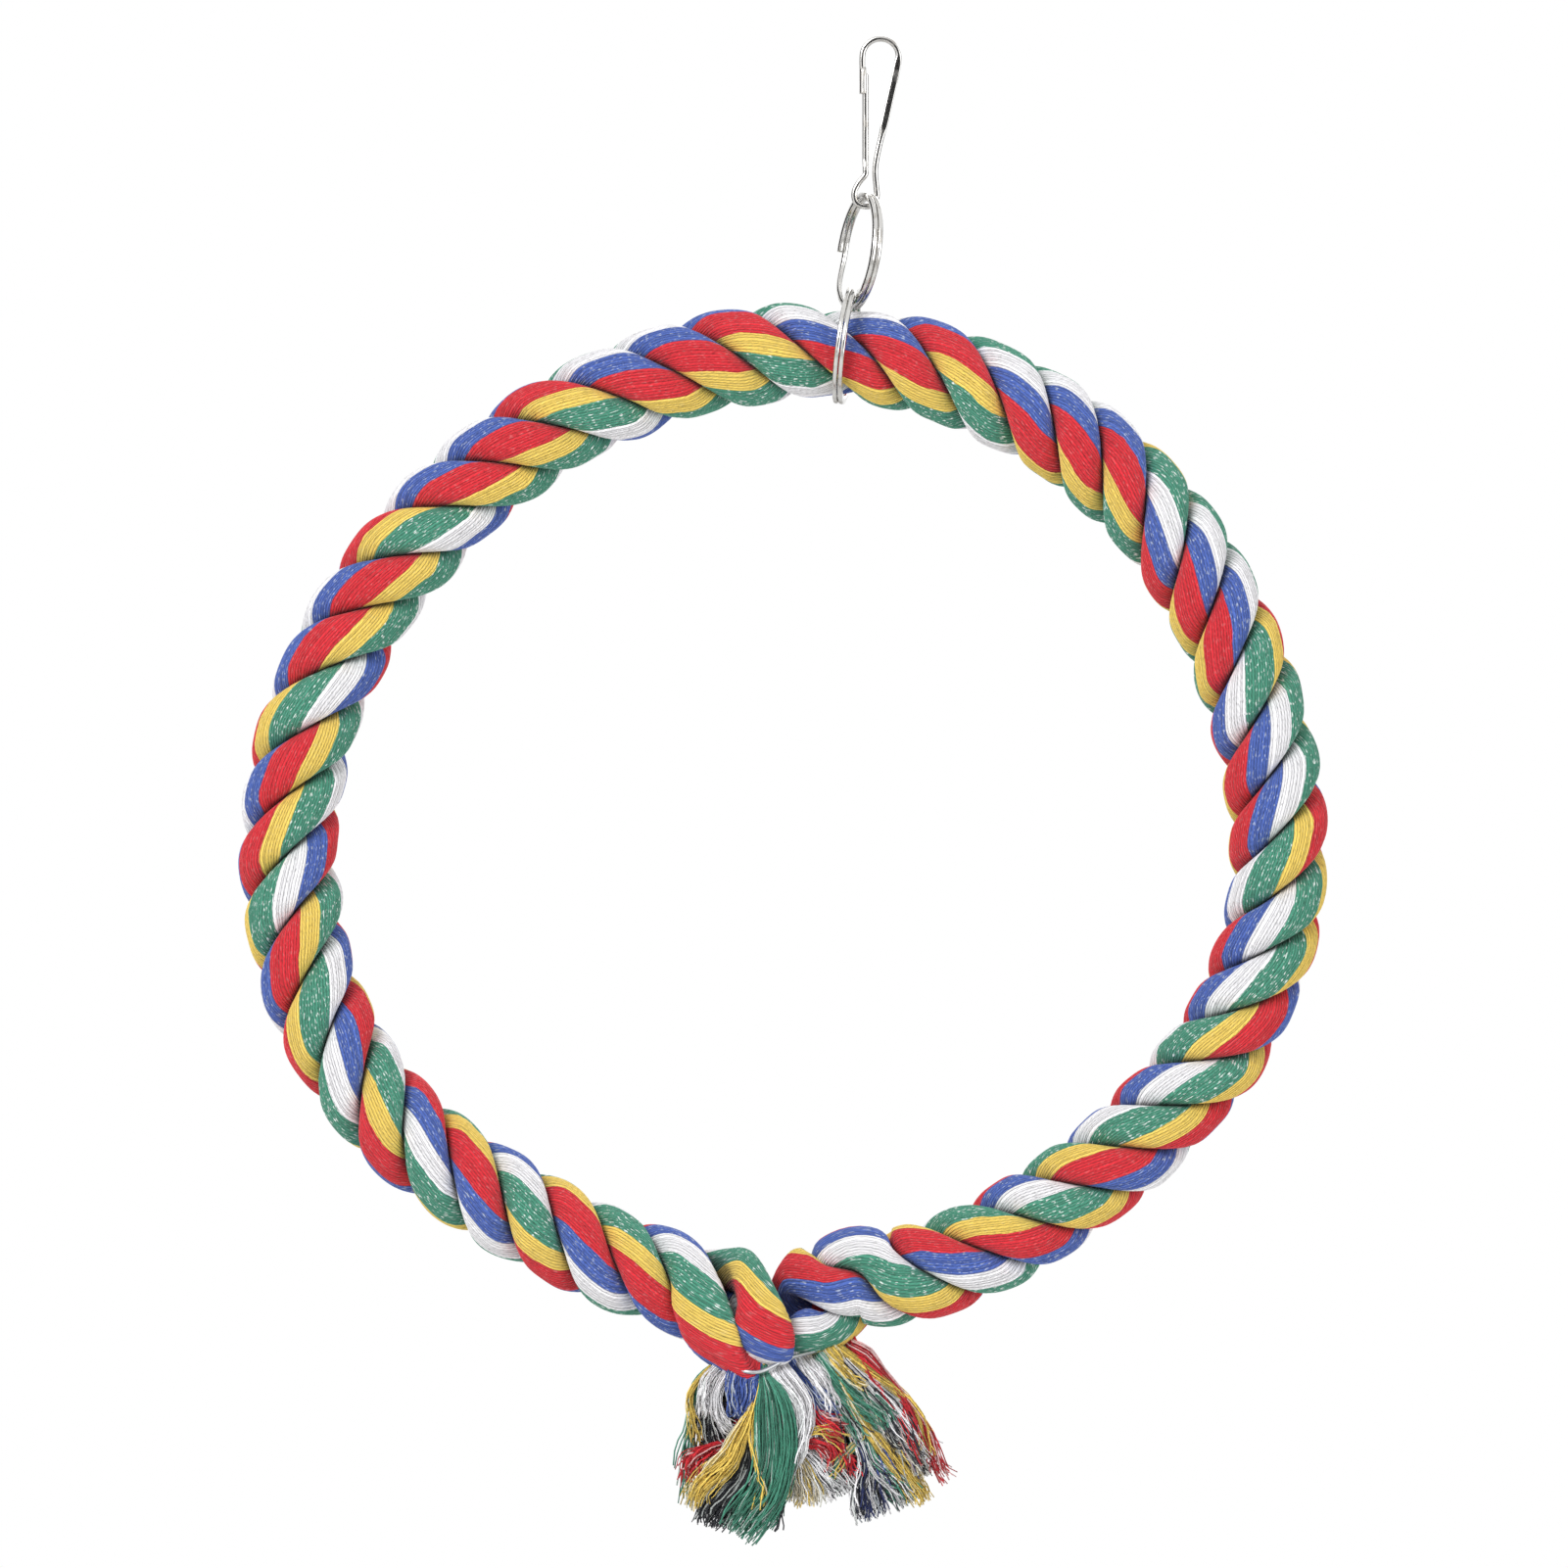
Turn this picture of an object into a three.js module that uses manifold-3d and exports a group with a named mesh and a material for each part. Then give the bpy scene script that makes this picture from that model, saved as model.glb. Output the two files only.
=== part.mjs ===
// Rope bird swing: a loop of three-strand cotton rope, tied and frayed at its ends, that hangs in
// two linked split rings from a bent-wire snap hook. Millimetres, +Z up. The origin is the seat
// inside the hook's crown, where a cage bar carries the swing. X runs across the loop.

import * as THREE from "three";
import { mergeVertices } from "three/addons/utils/BufferGeometryUtils.js";
import Module from "manifold-3d";

const wasm = await Module();
wasm.setup();

// Rope and its core
const ROPE_DIAMETER = 24;
const LOOP_RADIUS = 114;
const CORE_WIRE_DIAMETER = 1.8;
const STRAND_CLEARANCE = 0.4;
const STRAND_SIDES = 8;
const STEPS_PER_TURN = 9;
const CORE_SETBACK = 44;
const CORE_STEPS = 64;

// Turns of the lay: the length of one turn at the left, over the top and at the right, the places
// along the rope, counted from the rings, where it changes, and the part turn made at the rings
const LAY_LEFT = 44.6;
const LAY_TOP = 47.8;
const LAY_RIGHT = 43.3;
const LAY_TOP_START = -177;
const LAY_TOP_END = 46;
const LAY_AT_RINGS = 7.37;

// Hand-bent loop: bearing clockwise from the top in degrees, and how far the rope's centre line
// lies outside the loop radius there
const LOOP_SHAPE = [
  [-165, -3.9],
  [-150, -3.0],
  [-135, 1.7],
  [-120, 4.7],
  [-105, 4.6],
  [-90, 3.1],
  [-75, 0.7],
  [-60, -1.7],
  [-45, -2.4],
  [-30, -1.6],
  [-15, 0.1],
  [0, 1.9],
  [15, 2.9],
  [30, 3.3],
  [45, 3.5],
  [60, 3.3],
  [75, 4.3],
  [90, 5.6],
  [105, 3.8],
  [120, -0.6],
  [135, -3.2],
  [150, -3.4],
  [158, -3.9],
];

// Tie: where the two rope ends meet, the slope of the tie, and the bend of each end into it, given
// as steps across, towards the back and up from the end's own neck, in the order the rope runs
const TIE_ACROSS = 19.8;
const TIE_DROP = 9.5;
const TIE_SLOPE = 18.4;
const NECK_DIAMETER = 17.5;
const NECK_DEPTH_STEP = 7;
const NECK_LENGTH = 5;
const NECK_PAST_TIE = 2.5;
const NECK_TAPER = 14;
const TIE_WIRE_DIAMETER = 1;
const TIE_CLEARANCE = 0.3;
const TIE_TAIL_LENGTH = 7;
const TIE_TAIL_TURNS = 1.25;
const TIE_TAIL_GAP = 0.8;
const TIE_TAIL_STEPS = 8;
const TIE_ARC_STEPS = 6;
const TIE_STEPS = 64;
const LEFT_BEND = [
  [-5, 0.7, 6.3],
  [-13, 2.1, 11.5],
  [-23.5, 3.1, 15.8],
];
const RIGHT_BEND = [
  [5.2, -3.1, 18.4],
  [-2.6, -2.1, 13.4],
  [-4.2, -0.7, 6.3],
];

// Frayed ends: their length below the tie for each strand, how far they spread, and how far each
// end leans across by its tip
const LEFT_TASSEL_LENGTHS = [36, 39, 34];
const RIGHT_TASSEL_LENGTHS = [38, 27, 40];
const LEFT_TASSEL_SPREAD = 10;
const RIGHT_TASSEL_SPREAD = 16;
const TASSEL_SPREAD_LENGTH = 30;
const TASSEL_CLEARANCE = 0.3;
const TASSEL_STEPS = 6;
const LEFT_TASSEL_LEAN = -15;
const RIGHT_TASSEL_LEAN = 5;

// Split rings, both alike
const RING_OUTER_DIAMETER = 28.5;
const RING_WIRE_THICKNESS = 1.7;
const RING_WIRE_WIDTH = 0.9;
const RING_TURN_GAP = 0.42;
const RING_CLEARANCE = 0.3;
const RING_EYE_LIFT = 0.7;
const RING_SLACK = 2.3;
const RING_SPARE_TURN = 3;
const UPPER_RING_SHARE = 0.74;
const RING_STEPS = 24;
const RING_JOG_STEPS = 3;
const RING_FLAT_SHARE = 0.5;
const WAIST_LENGTH = 9;

// Snap hook
const HOOK_WIRE_WIDTH = 1.4;
const HOOK_WIRE_DEPTH = 2;
const HOOK_CROWN_WIDTH = 7.3;
const HOOK_INSIDE_LENGTH = 38.8;
const HOOK_NECK_DROP = 30.3;
const HOOK_NECK_GAP = 1;
const HOOK_EYE_WIDTH = 4;
const HOOK_LEAN = 7.6;
const HOOK_STUB_LENGTH = 1.2;
const HOOK_STEPS = 76;
const CROWN_STEPS = 10;
const WIRE_CORNER_SHARE = 0.3;
const GATE_WIDTH = 1.3;
const GATE_DEPTH = 1.3;
const GATE_CLEARANCE = 0.3;
const CATCH_WALL = 0.5;
const CATCH_LENGTH = 5.6;
const CATCH_DROP = 12.5;
const CATCH_LIP = 0.13;

const nickel = { color: 0xc9c9cc, roughness: 0.22, metalness: 1 };
const zinc = { color: 0xa9abae, roughness: 0.4, metalness: 1 };
const cotton = [0xcd2030, 0x4b64b4, 0x46876e];
const frayed = [0xe8be46, 0xf0eef0, 0x46876e];

const toRadians = THREE.MathUtils.degToRad;
const group = new THREE.Group();

function addMesh(parent, name, geometry, finish) {
  const mesh = new THREE.Mesh(geometry, new THREE.MeshStandardMaterial(finish));
  mesh.name = name;
  parent.add(mesh);
  return mesh;
}

// A closed skin over rings of points, each ring anticlockwise about the way the rings advance
function skinRings(rings) {
  const sides = rings[0].length;
  const faces = [];
  const last = (rings.length - 1) * sides;
  for (let i = 0; i < rings.length - 1; i += 1) {
    for (let j = 0; j < sides; j += 1) {
      const here = i * sides + j;
      const beside = i * sides + ((j + 1) % sides);
      faces.push(here, beside, beside + sides);
      faces.push(here, beside + sides, here + sides);
    }
  }
  for (let j = 1; j < sides - 1; j += 1) {
    faces.push(0, j + 1, j);
    faces.push(last, last + j, last + j + 1);
  }
  const geometry = new THREE.BufferGeometry().setFromPoints(rings.flat());
  geometry.setIndex(faces);
  return geometry;
}

// Least distance between the points of rings that are at least the given count of steps apart
function leastGap(rings, apart) {
  let least = Infinity;
  for (let i = 0; i < rings.length; i += 1) {
    for (let k = i + apart; k < rings.length; k += 1) {
      for (const a of rings[i]) {
        for (const b of rings[k]) {
          least = Math.min(least, a.distanceTo(b));
        }
      }
    }
  }
  return least;
}

function roundedSection(width, depth) {
  const corner = WIRE_CORNER_SHARE * Math.min(width, depth);
  const x = width / 2;
  const y = depth / 2;
  return new THREE.Shape([
    new THREE.Vector2(x, -y + corner),
    new THREE.Vector2(x, y - corner),
    new THREE.Vector2(x - corner, y),
    new THREE.Vector2(-x + corner, y),
    new THREE.Vector2(-x, y - corner),
    new THREE.Vector2(-x, -y + corner),
    new THREE.Vector2(-x + corner, -y),
    new THREE.Vector2(x - corner, -y),
  ]);
}

function hexSection(diameter) {
  const points = [];
  for (let i = 0; i < 6; i += 1) {
    const turn = (i * Math.PI) / 3;
    points.push(new THREE.Vector2(Math.cos(turn), Math.sin(turn)).multiplyScalar(diameter / 2));
  }
  return new THREE.Shape(points);
}

function wireAlong(curve, section, steps) {
  return new THREE.ExtrudeGeometry(section, { steps, bevelEnabled: false, extrudePath: curve });
}

function toSolid(geometry) {
  const bare = geometry.clone();
  bare.deleteAttribute("normal");
  bare.deleteAttribute("uv");
  const merged = mergeVertices(bare);
  return new wasm.Manifold(
    new wasm.Mesh({
      numProp: 3,
      vertProperties: merged.attributes.position.array,
      triVerts: new Uint32Array(merged.index.array),
    }),
  );
}

function toGeometry(solid) {
  const mesh = solid.getMesh();
  const geometry = new THREE.BufferGeometry();
  geometry.setAttribute("position", new THREE.BufferAttribute(mesh.vertProperties, 3));
  geometry.setIndex(new THREE.BufferAttribute(mesh.triVerts, 1));
  return geometry;
}

function boxBetween(low, high) {
  const size = high.clone().sub(low);
  const box = new THREE.BoxGeometry(size.x, size.y, size.z);
  const middle = low.clone().add(high).multiplyScalar(0.5);
  return box.translate(middle.x, middle.y, middle.z);
}

// Snap hook: one bent wire, drawn with its gate upright and leaned as it hangs at rest
const hook = new THREE.Group();
hook.rotation.y = -toRadians(HOOK_LEAN);
group.add(hook);

const crownRadius = (HOOK_CROWN_WIDTH + HOOK_WIRE_WIDTH) / 2;
const crownCentre = new THREE.Vector3(0, 0, -HOOK_CROWN_WIDTH / 2);
const catchOuter = -crownRadius - HOOK_WIRE_WIDTH / 2;
const slotWall = catchOuter + CATCH_WALL;
const gateX = slotWall + GATE_CLEARANCE + GATE_WIDTH / 2;
const neck = new THREE.Vector3(
  gateX + GATE_WIDTH / 2 + HOOK_NECK_GAP + HOOK_WIRE_WIDTH / 2,
  0,
  -HOOK_NECK_DROP,
);
const catchTop = -CATCH_DROP + CATCH_LENGTH;
const slotTop = catchTop - CATCH_WALL;
const eyeHalf = (HOOK_EYE_WIDTH + HOOK_WIRE_WIDTH) / 2;
const eyeBottom = -HOOK_INSIDE_LENGTH - HOOK_WIRE_WIDTH / 2;
const eyeHeight = -HOOK_NECK_DROP - eyeBottom;

function hookPath() {
  const toNeck = neck.clone().sub(crownCentre);
  const facing = Math.atan2(toNeck.z, toNeck.x);
  const spineStart = facing + Math.acos(crownRadius / toNeck.length());
  const points = [new THREE.Vector3(-crownRadius, 0, (slotTop + catchTop) / 2)];
  for (let i = 0; i <= CROWN_STEPS; i += 1) {
    const turn = Math.PI + ((spineStart - Math.PI) * i) / CROWN_STEPS;
    const step = new THREE.Vector3(Math.cos(turn), 0, Math.sin(turn)).multiplyScalar(crownRadius);
    points.push(crownCentre.clone().add(step));
  }
  const spineTop = points[points.length - 1];
  points.push(spineTop.clone().lerp(neck, 0.5));
  points.push(neck);
  const eye = [
    [0.96, 0.5],
    [1, 0.24],
    [0.62, 0.03],
    [-0.2, 0],
    [-0.84, 0.1],
    [-1, 0.34],
    [-0.62, 0.6],
  ];
  for (const [across, up] of eye) {
    points.push(new THREE.Vector3(gateX + across * eyeHalf, 0, eyeBottom + up * eyeHeight));
  }
  const stubTop = -HOOK_NECK_DROP - GATE_CLEARANCE;
  points.push(new THREE.Vector3(gateX, 0, stubTop - HOOK_STUB_LENGTH));
  points.push(new THREE.Vector3(gateX, 0, stubTop));
  return new THREE.CatmullRomCurve3(points, false, "centripetal");
}

const hookWire = toSolid(
  wireAlong(hookPath(), roundedSection(HOOK_WIRE_WIDTH, HOOK_WIRE_DEPTH), HOOK_STEPS),
);
const slotHalf = GATE_DEPTH / 2 + GATE_CLEARANCE;
const catchHalf = Math.max(slotHalf + CATCH_WALL, HOOK_WIRE_DEPTH / 2);
const catchInner = gateX + CATCH_LIP;
const catchBlock = boxBetween(
  new THREE.Vector3(catchOuter, -catchHalf, -CATCH_DROP),
  new THREE.Vector3(catchInner, catchHalf, catchTop),
);
const catchSlot = boxBetween(
  new THREE.Vector3(slotWall, -slotHalf, -CATCH_DROP - CATCH_WALL),
  new THREE.Vector3(catchInner + CATCH_WALL, slotHalf, slotTop),
);
const hookSolid = hookWire.add(toSolid(catchBlock)).subtract(toSolid(catchSlot));
addMesh(hook, "hook_wire", toGeometry(hookSolid), nickel);

// Gate: the wire's free end, springing outwards into the catch from the neck of the eye
const gateTop = slotTop - GATE_CLEARANCE;
const gateLine = new THREE.LineCurve3(
  new THREE.Vector3(gateX, 0, -HOOK_NECK_DROP),
  new THREE.Vector3(gateX, 0, gateTop),
);
addMesh(hook, "gate_arm", wireAlong(gateLine, roundedSection(GATE_WIDTH, GATE_DEPTH), 1), nickel);

// Split rings: two turns of one wire that jogs sideways between them
const ringRadius = (RING_OUTER_DIAMETER - RING_WIRE_THICKNESS) / 2;
const ringPitch = RING_WIRE_WIDTH + RING_TURN_GAP;
const ringWidth = 2 * RING_WIRE_WIDTH + RING_TURN_GAP;
const ringInterlock = RING_WIRE_THICKNESS + RING_SLACK;

function splitRing() {
  const rings = [];
  const half = RING_WIRE_WIDTH / 2;
  const outer = RING_WIRE_THICKNESS / 2;
  const flat = RING_FLAT_SHARE * outer;
  const section = [
    [half, -flat],
    [half, flat],
    [0, outer],
    [-half, flat],
    [-half, -flat],
    [0, -outer],
  ];
  const steps = 2 * RING_STEPS - RING_JOG_STEPS - 1;
  for (let i = 0; i <= steps; i += 1) {
    const turn = (2 * Math.PI * i) / RING_STEPS;
    const intoJog = THREE.MathUtils.smoothstep(i, RING_STEPS - RING_JOG_STEPS, RING_STEPS);
    const side = ringPitch * (intoJog - 0.5);
    rings.push(
      section.map(([along, out]) => {
        const radius = ringRadius + out;
        return new THREE.Vector3(side + along, radius * Math.cos(turn), radius * Math.sin(turn));
      }),
    );
  }
  console.log("split ring, least gap to itself:", leastGap(rings, RING_STEPS / 2).toFixed(2), "mm");
  return skinRings(rings);
}

// The rings lie nearly in one plane, turned apart just far enough to pass each other
const crossing = Math.sqrt(ringInterlock * ringRadius);
const ringSpread = Math.asin((ringWidth + RING_CLEARANCE) / crossing) + toRadians(RING_SPARE_TURN);
const upperTurn = UPPER_RING_SHARE * ringSpread;
const lowerTurn = upperTurn - ringSpread;

const eyeSeat = new THREE.Vector3(gateX, 0, -HOOK_INSIDE_LENGTH);
eyeSeat.applyAxisAngle(new THREE.Vector3(0, 1, 0), hook.rotation.y);
const upperCentre = eyeSeat.clone();
upperCentre.z += RING_EYE_LIFT + RING_CLEARANCE + RING_WIRE_THICKNESS / 2 - ringRadius;
const lowerCentre = upperCentre.clone();
lowerCentre.z += ringInterlock - 2 * ringRadius;

const upperRing = addMesh(group, "upper_split_ring", splitRing(), nickel);
upperRing.position.copy(upperCentre);
upperRing.rotation.z = upperTurn;
const lowerRing = addMesh(group, "lower_split_ring", splitRing(), nickel);
lowerRing.position.copy(lowerCentre);
lowerRing.rotation.z = lowerTurn;

// Rope route: it lies on the lower ring's inner edge, squeezed beside the upper ring's wire
const waistDiameter =
  2 * ringRadius - RING_WIRE_THICKNESS - ringInterlock - 2 * RING_CLEARANCE;
const loopCentre = lowerCentre.clone();
const seatOffset = LOOP_SHAPE.find(([bearing]) => bearing === 0)[1];
loopCentre.z += -ringRadius + RING_WIRE_THICKNESS / 2 + RING_CLEARANCE + waistDiameter / 2;
loopCentre.z -= LOOP_RADIUS + seatOffset;

const tieAxis = new THREE.Vector3(
  Math.sin(toRadians(TIE_SLOPE)),
  0,
  -Math.cos(toRadians(TIE_SLOPE)),
);
const tieAcross = new THREE.Vector3(-tieAxis.z, 0, tieAxis.x);
const tieBack = new THREE.Vector3(0, 1, 0);
const tieCentre = loopCentre.clone();
tieCentre.add(new THREE.Vector3(TIE_ACROSS, 0, -LOOP_RADIUS - TIE_DROP));
const neckSpread = Math.sqrt((NECK_DIAMETER + TIE_CLEARANCE) ** 2 - NECK_DEPTH_STEP ** 2);
const leftNeck = tieCentre.clone().addScaledVector(tieAcross, -neckSpread / 2);
leftNeck.addScaledVector(tieBack, -NECK_DEPTH_STEP / 2);
const rightNeck = tieCentre.clone().addScaledVector(tieAcross, neckSpread / 2);
rightNeck.addScaledVector(tieBack, NECK_DEPTH_STEP / 2);

function ropeRoute() {
  const left = LEFT_BEND.map((step) => leftNeck.clone().add(new THREE.Vector3(...step)));
  const right = RIGHT_BEND.map((step) => rightNeck.clone().add(new THREE.Vector3(...step)));
  const loop = LOOP_SHAPE.map(([bearing, outside]) => {
    const radius = LOOP_RADIUS + outside;
    const turn = toRadians(bearing);
    const step = new THREE.Vector3(radius * Math.sin(turn), 0, radius * Math.cos(turn));
    return loopCentre.clone().add(step);
  });
  const points = [
    leftNeck.clone().addScaledVector(tieAxis, NECK_PAST_TIE),
    leftNeck.clone(),
    ...left,
    ...loop,
    ...right,
    rightNeck.clone(),
    rightNeck.clone().addScaledVector(tieAxis, NECK_PAST_TIE),
  ];
  const route = new THREE.CatmullRomCurve3(points, false, "centripetal");
  route.arcLengthDivisions = 2000;
  return route;
}

const route = ropeRoute();
const ropeLength = route.getLength();
const seatPoint = 2 + LEFT_BEND.length + LOOP_SHAPE.findIndex(([bearing]) => bearing === 0);
const seatShare = seatPoint / (route.points.length - 1);
const seatLength = route.getLengths()[Math.round(seatShare * route.arcLengthDivisions)];
console.log("rope, tie to tie:", (ropeLength - 2 * NECK_PAST_TIE).toFixed(1), "mm");

// Radius over the strands' crowns: drawn in at the rings and at the tie
function ropeRadiusAt(length) {
  const fromSeat = (length - seatLength) / WAIST_LENGTH;
  const waist = (ROPE_DIAMETER - waistDiameter) * Math.exp(-fromSeat * fromSeat);
  const fromEnd = Math.min(length, ropeLength - length);
  const opened = THREE.MathUtils.smoothstep(fromEnd, NECK_LENGTH, NECK_LENGTH + NECK_TAPER);
  return THREE.MathUtils.lerp(NECK_DIAMETER, ROPE_DIAMETER - waist, opened) / 2;
}

function turnsAt(length) {
  const fromSeat = length - seatLength;
  const overTop = THREE.MathUtils.clamp(fromSeat, LAY_TOP_START, LAY_TOP_END);
  const atLeft = Math.min(fromSeat - LAY_TOP_START, 0);
  const atRight = Math.max(fromSeat - LAY_TOP_END, 0);
  return LAY_AT_RINGS + overTop / LAY_TOP + atLeft / LAY_LEFT + atRight / LAY_RIGHT;
}

// Section of one strand in a rope of the given radius: an oval that leaves room for the core wire
// at the rope's middle and for the two strands beside it
function strandSection(radius) {
  const hole = CORE_WIRE_DIAMETER / 2 + STRAND_CLEARANCE;
  const deep = (radius - hole) / 2;
  const middle = (radius + hole) / 2;
  const reach = Math.sin(Math.PI / 3) * middle - STRAND_CLEARANCE / 2;
  const broad = Math.sqrt(reach ** 2 - (Math.sin(Math.PI / 3) * deep) ** 2) / Math.cos(Math.PI / 3);
  return { deep, middle, broad };
}

// One ring of points on a strand that lies at the given turn about the rope's centre
function strandRing(centre, outward, front, radius, turn) {
  const { deep, middle, broad } = strandSection(radius);
  const away = outward.clone().multiplyScalar(Math.cos(turn)).addScaledVector(front, Math.sin(turn));
  const aside = front.clone().multiplyScalar(Math.cos(turn)).addScaledVector(outward, -Math.sin(turn));
  const ring = [];
  for (let j = 0; j < STRAND_SIDES; j += 1) {
    const around = (2 * Math.PI * j) / STRAND_SIDES;
    const point = centre.clone().addScaledVector(away, middle + deep * Math.cos(around));
    ring.push(point.addScaledVector(aside, broad * Math.sin(around)));
  }
  return ring;
}

function strandTurn(length, strand) {
  return Math.PI / 2 + 2 * Math.PI * (turnsAt(length) - strand / 3);
}

const viewer = new THREE.Vector3(0, -1, 0);
const strandSteps = Math.round((ropeLength / LAY_TOP) * STEPS_PER_TURN);
const strandNames = ["strand_a", "strand_b", "strand_c"];
strandNames.forEach((name, strand) => {
  const rings = [];
  for (let i = 0; i <= strandSteps; i += 1) {
    const share = i / strandSteps;
    const length = share * ropeLength;
    const along = route.getTangentAt(share);
    const outward = viewer.clone().cross(along).normalize();
    const front = along.clone().cross(outward);
    const turn = strandTurn(length, strand);
    rings.push(strandRing(route.getPointAt(share), outward, front, ropeRadiusAt(length), turn));
  }
  addMesh(group, name, skinRings(rings), { color: cotton[strand], roughness: 0.9, metalness: 0 });
});

// Core wire: keeps the loop round, and stops where the rope's ends bend to the tie
const corePoints = [];
for (let i = 0; i <= CORE_STEPS; i += 1) {
  const length = THREE.MathUtils.lerp(CORE_SETBACK, ropeLength - CORE_SETBACK, i / CORE_STEPS);
  corePoints.push(route.getPointAt(length / ropeLength));
}
const coreCurve = new THREE.CatmullRomCurve3(corePoints, false, "centripetal");
addMesh(group, "core_wire", wireAlong(coreCurve, hexSection(CORE_WIRE_DIAMETER), CORE_STEPS), zinc);

// Tie wire: one loop around both necks, its two tails twisted together at the back
function tiePath() {
  const radius = NECK_DIAMETER / 2 + TIE_CLEARANCE + TIE_WIRE_DIAMETER / 2;
  const between = rightNeck.clone().sub(leftNeck).normalize();
  const behind = between.clone().cross(tieAxis);
  const back = leftNeck.clone().lerp(rightNeck, 0.5).addScaledVector(behind, radius);
  const tailRadius = (TIE_WIRE_DIAMETER + TIE_TAIL_GAP) / 2;
  const tailRoom = 3 * tailRadius;
  const tail = (side) => {
    const points = [];
    for (let i = 0; i <= TIE_TAIL_STEPS; i += 1) {
      const turn = (2 * Math.PI * TIE_TAIL_TURNS * i) / TIE_TAIL_STEPS;
      const out = TIE_WIRE_DIAMETER + (TIE_TAIL_LENGTH * i) / TIE_TAIL_STEPS;
      const point = back.clone().addScaledVector(behind, out);
      point.addScaledVector(between, side * tailRadius * Math.cos(turn));
      points.push(point.addScaledVector(tieAxis, side * tailRadius * Math.sin(turn)));
    }
    return points;
  };
  const arc = (middle, from) => {
    const points = [];
    for (let i = 0; i <= TIE_ARC_STEPS; i += 1) {
      const turn = from + (Math.PI * i) / TIE_ARC_STEPS;
      const point = middle.clone().addScaledVector(between, radius * Math.cos(turn));
      points.push(point.addScaledVector(behind, radius * Math.sin(turn)));
    }
    return points;
  };
  const points = [
    ...tail(-1).reverse(),
    back.clone().addScaledVector(between, -tailRoom),
    ...arc(leftNeck, Math.PI / 2),
    ...arc(rightNeck, -Math.PI / 2),
    back.clone().addScaledVector(between, tailRoom),
    ...tail(1),
  ];
  return new THREE.CatmullRomCurve3(points, false, "centripetal");
}

const tieCurve = tiePath();
const tiePoints = tieCurve.getSpacedPoints(TIE_STEPS).map((point) => [point]);
const tieGap = leastGap(tiePoints, TIE_TAIL_STEPS) - TIE_WIRE_DIAMETER;
console.log("tie wire, least gap to itself:", tieGap.toFixed(2), "mm");
addMesh(group, "tie_wire", wireAlong(tieCurve, hexSection(TIE_WIRE_DIAMETER), TIE_STEPS), zinc);

// Frayed ends: each strand opens out below the tie into a bundle of loose yarn
function tassel(neckPoint, outward, turn, length, widening, lean, longest) {
  const start = neckPoint.clone().addScaledVector(tieAxis, NECK_PAST_TIE + TASSEL_CLEARANCE);
  const rings = [];
  for (let i = 0; i <= TASSEL_STEPS; i += 1) {
    const down = (length * i) / TASSEL_STEPS;
    const spread = widening * THREE.MathUtils.smoothstep(down, 0, TASSEL_SPREAD_LENGTH);
    const centre = start.clone().addScaledVector(tieAxis, down);
    centre.x += (lean * down) / longest;
    rings.push(strandRing(centre, outward, viewer, (NECK_DIAMETER + spread) / 2, turn));
  }
  return skinRings(rings);
}

function addTassels(side, neckPoint, lengths, widening, lean, turnOf) {
  const outward = viewer.clone().cross(tieAxis).normalize();
  const longest = Math.max(...lengths);
  lengths.forEach((length, strand) => {
    const name = `${side}_tassel_${"abc"[strand]}`;
    const turn = turnOf(strand);
    const geometry = tassel(neckPoint, outward, turn, length, widening, lean, longest);
    addMesh(group, name, geometry, { color: frayed[strand], roughness: 0.95, metalness: 0 });
  });
}

const leftEndTurn = (strand) => Math.PI - strandTurn(0, strand);
const rightEndTurn = (strand) => strandTurn(ropeLength, strand);
addTassels("left", leftNeck, LEFT_TASSEL_LENGTHS, LEFT_TASSEL_SPREAD, LEFT_TASSEL_LEAN, leftEndTurn);
addTassels("right", rightNeck, RIGHT_TASSEL_LENGTHS, RIGHT_TASSEL_SPREAD, RIGHT_TASSEL_LEAN, rightEndTurn);

export default group;
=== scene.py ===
"""Rope bird swing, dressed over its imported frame, in the order that the swing is put together."""

import math

import bpy
import numpy as np
from mathutils import Matrix, Vector


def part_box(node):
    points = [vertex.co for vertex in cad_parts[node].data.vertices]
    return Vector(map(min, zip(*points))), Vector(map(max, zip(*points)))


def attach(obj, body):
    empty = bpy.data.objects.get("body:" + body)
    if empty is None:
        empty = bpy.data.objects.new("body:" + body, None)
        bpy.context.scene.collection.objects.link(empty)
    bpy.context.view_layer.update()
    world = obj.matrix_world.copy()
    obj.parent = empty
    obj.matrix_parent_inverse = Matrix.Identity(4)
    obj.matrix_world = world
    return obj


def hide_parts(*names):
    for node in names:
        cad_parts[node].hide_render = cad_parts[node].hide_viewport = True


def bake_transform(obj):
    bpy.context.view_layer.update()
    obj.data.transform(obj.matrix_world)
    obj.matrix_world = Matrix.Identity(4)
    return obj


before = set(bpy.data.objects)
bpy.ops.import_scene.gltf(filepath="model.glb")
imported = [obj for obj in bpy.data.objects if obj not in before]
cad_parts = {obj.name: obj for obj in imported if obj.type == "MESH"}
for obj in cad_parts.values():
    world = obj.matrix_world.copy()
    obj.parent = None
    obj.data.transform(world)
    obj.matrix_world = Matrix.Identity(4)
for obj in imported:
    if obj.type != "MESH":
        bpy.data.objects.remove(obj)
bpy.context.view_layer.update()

# Camera: square on to the loop and two metres back, as the swing was photographed.
# The swing hung 7.6 degrees off the upright there, so the camera is rolled by as much.
CAMERA_DISTANCE = 2.0
CAMERA_SENSOR = 36.0
PICTURE_WIDTH = 0.3762
PICTURE_ROLL = math.radians(7.6)
PICTURE_ACROSS = -0.00095
PICTURE_ABOVE = 0.0116
LOOP_DROP = 0.1179

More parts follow.
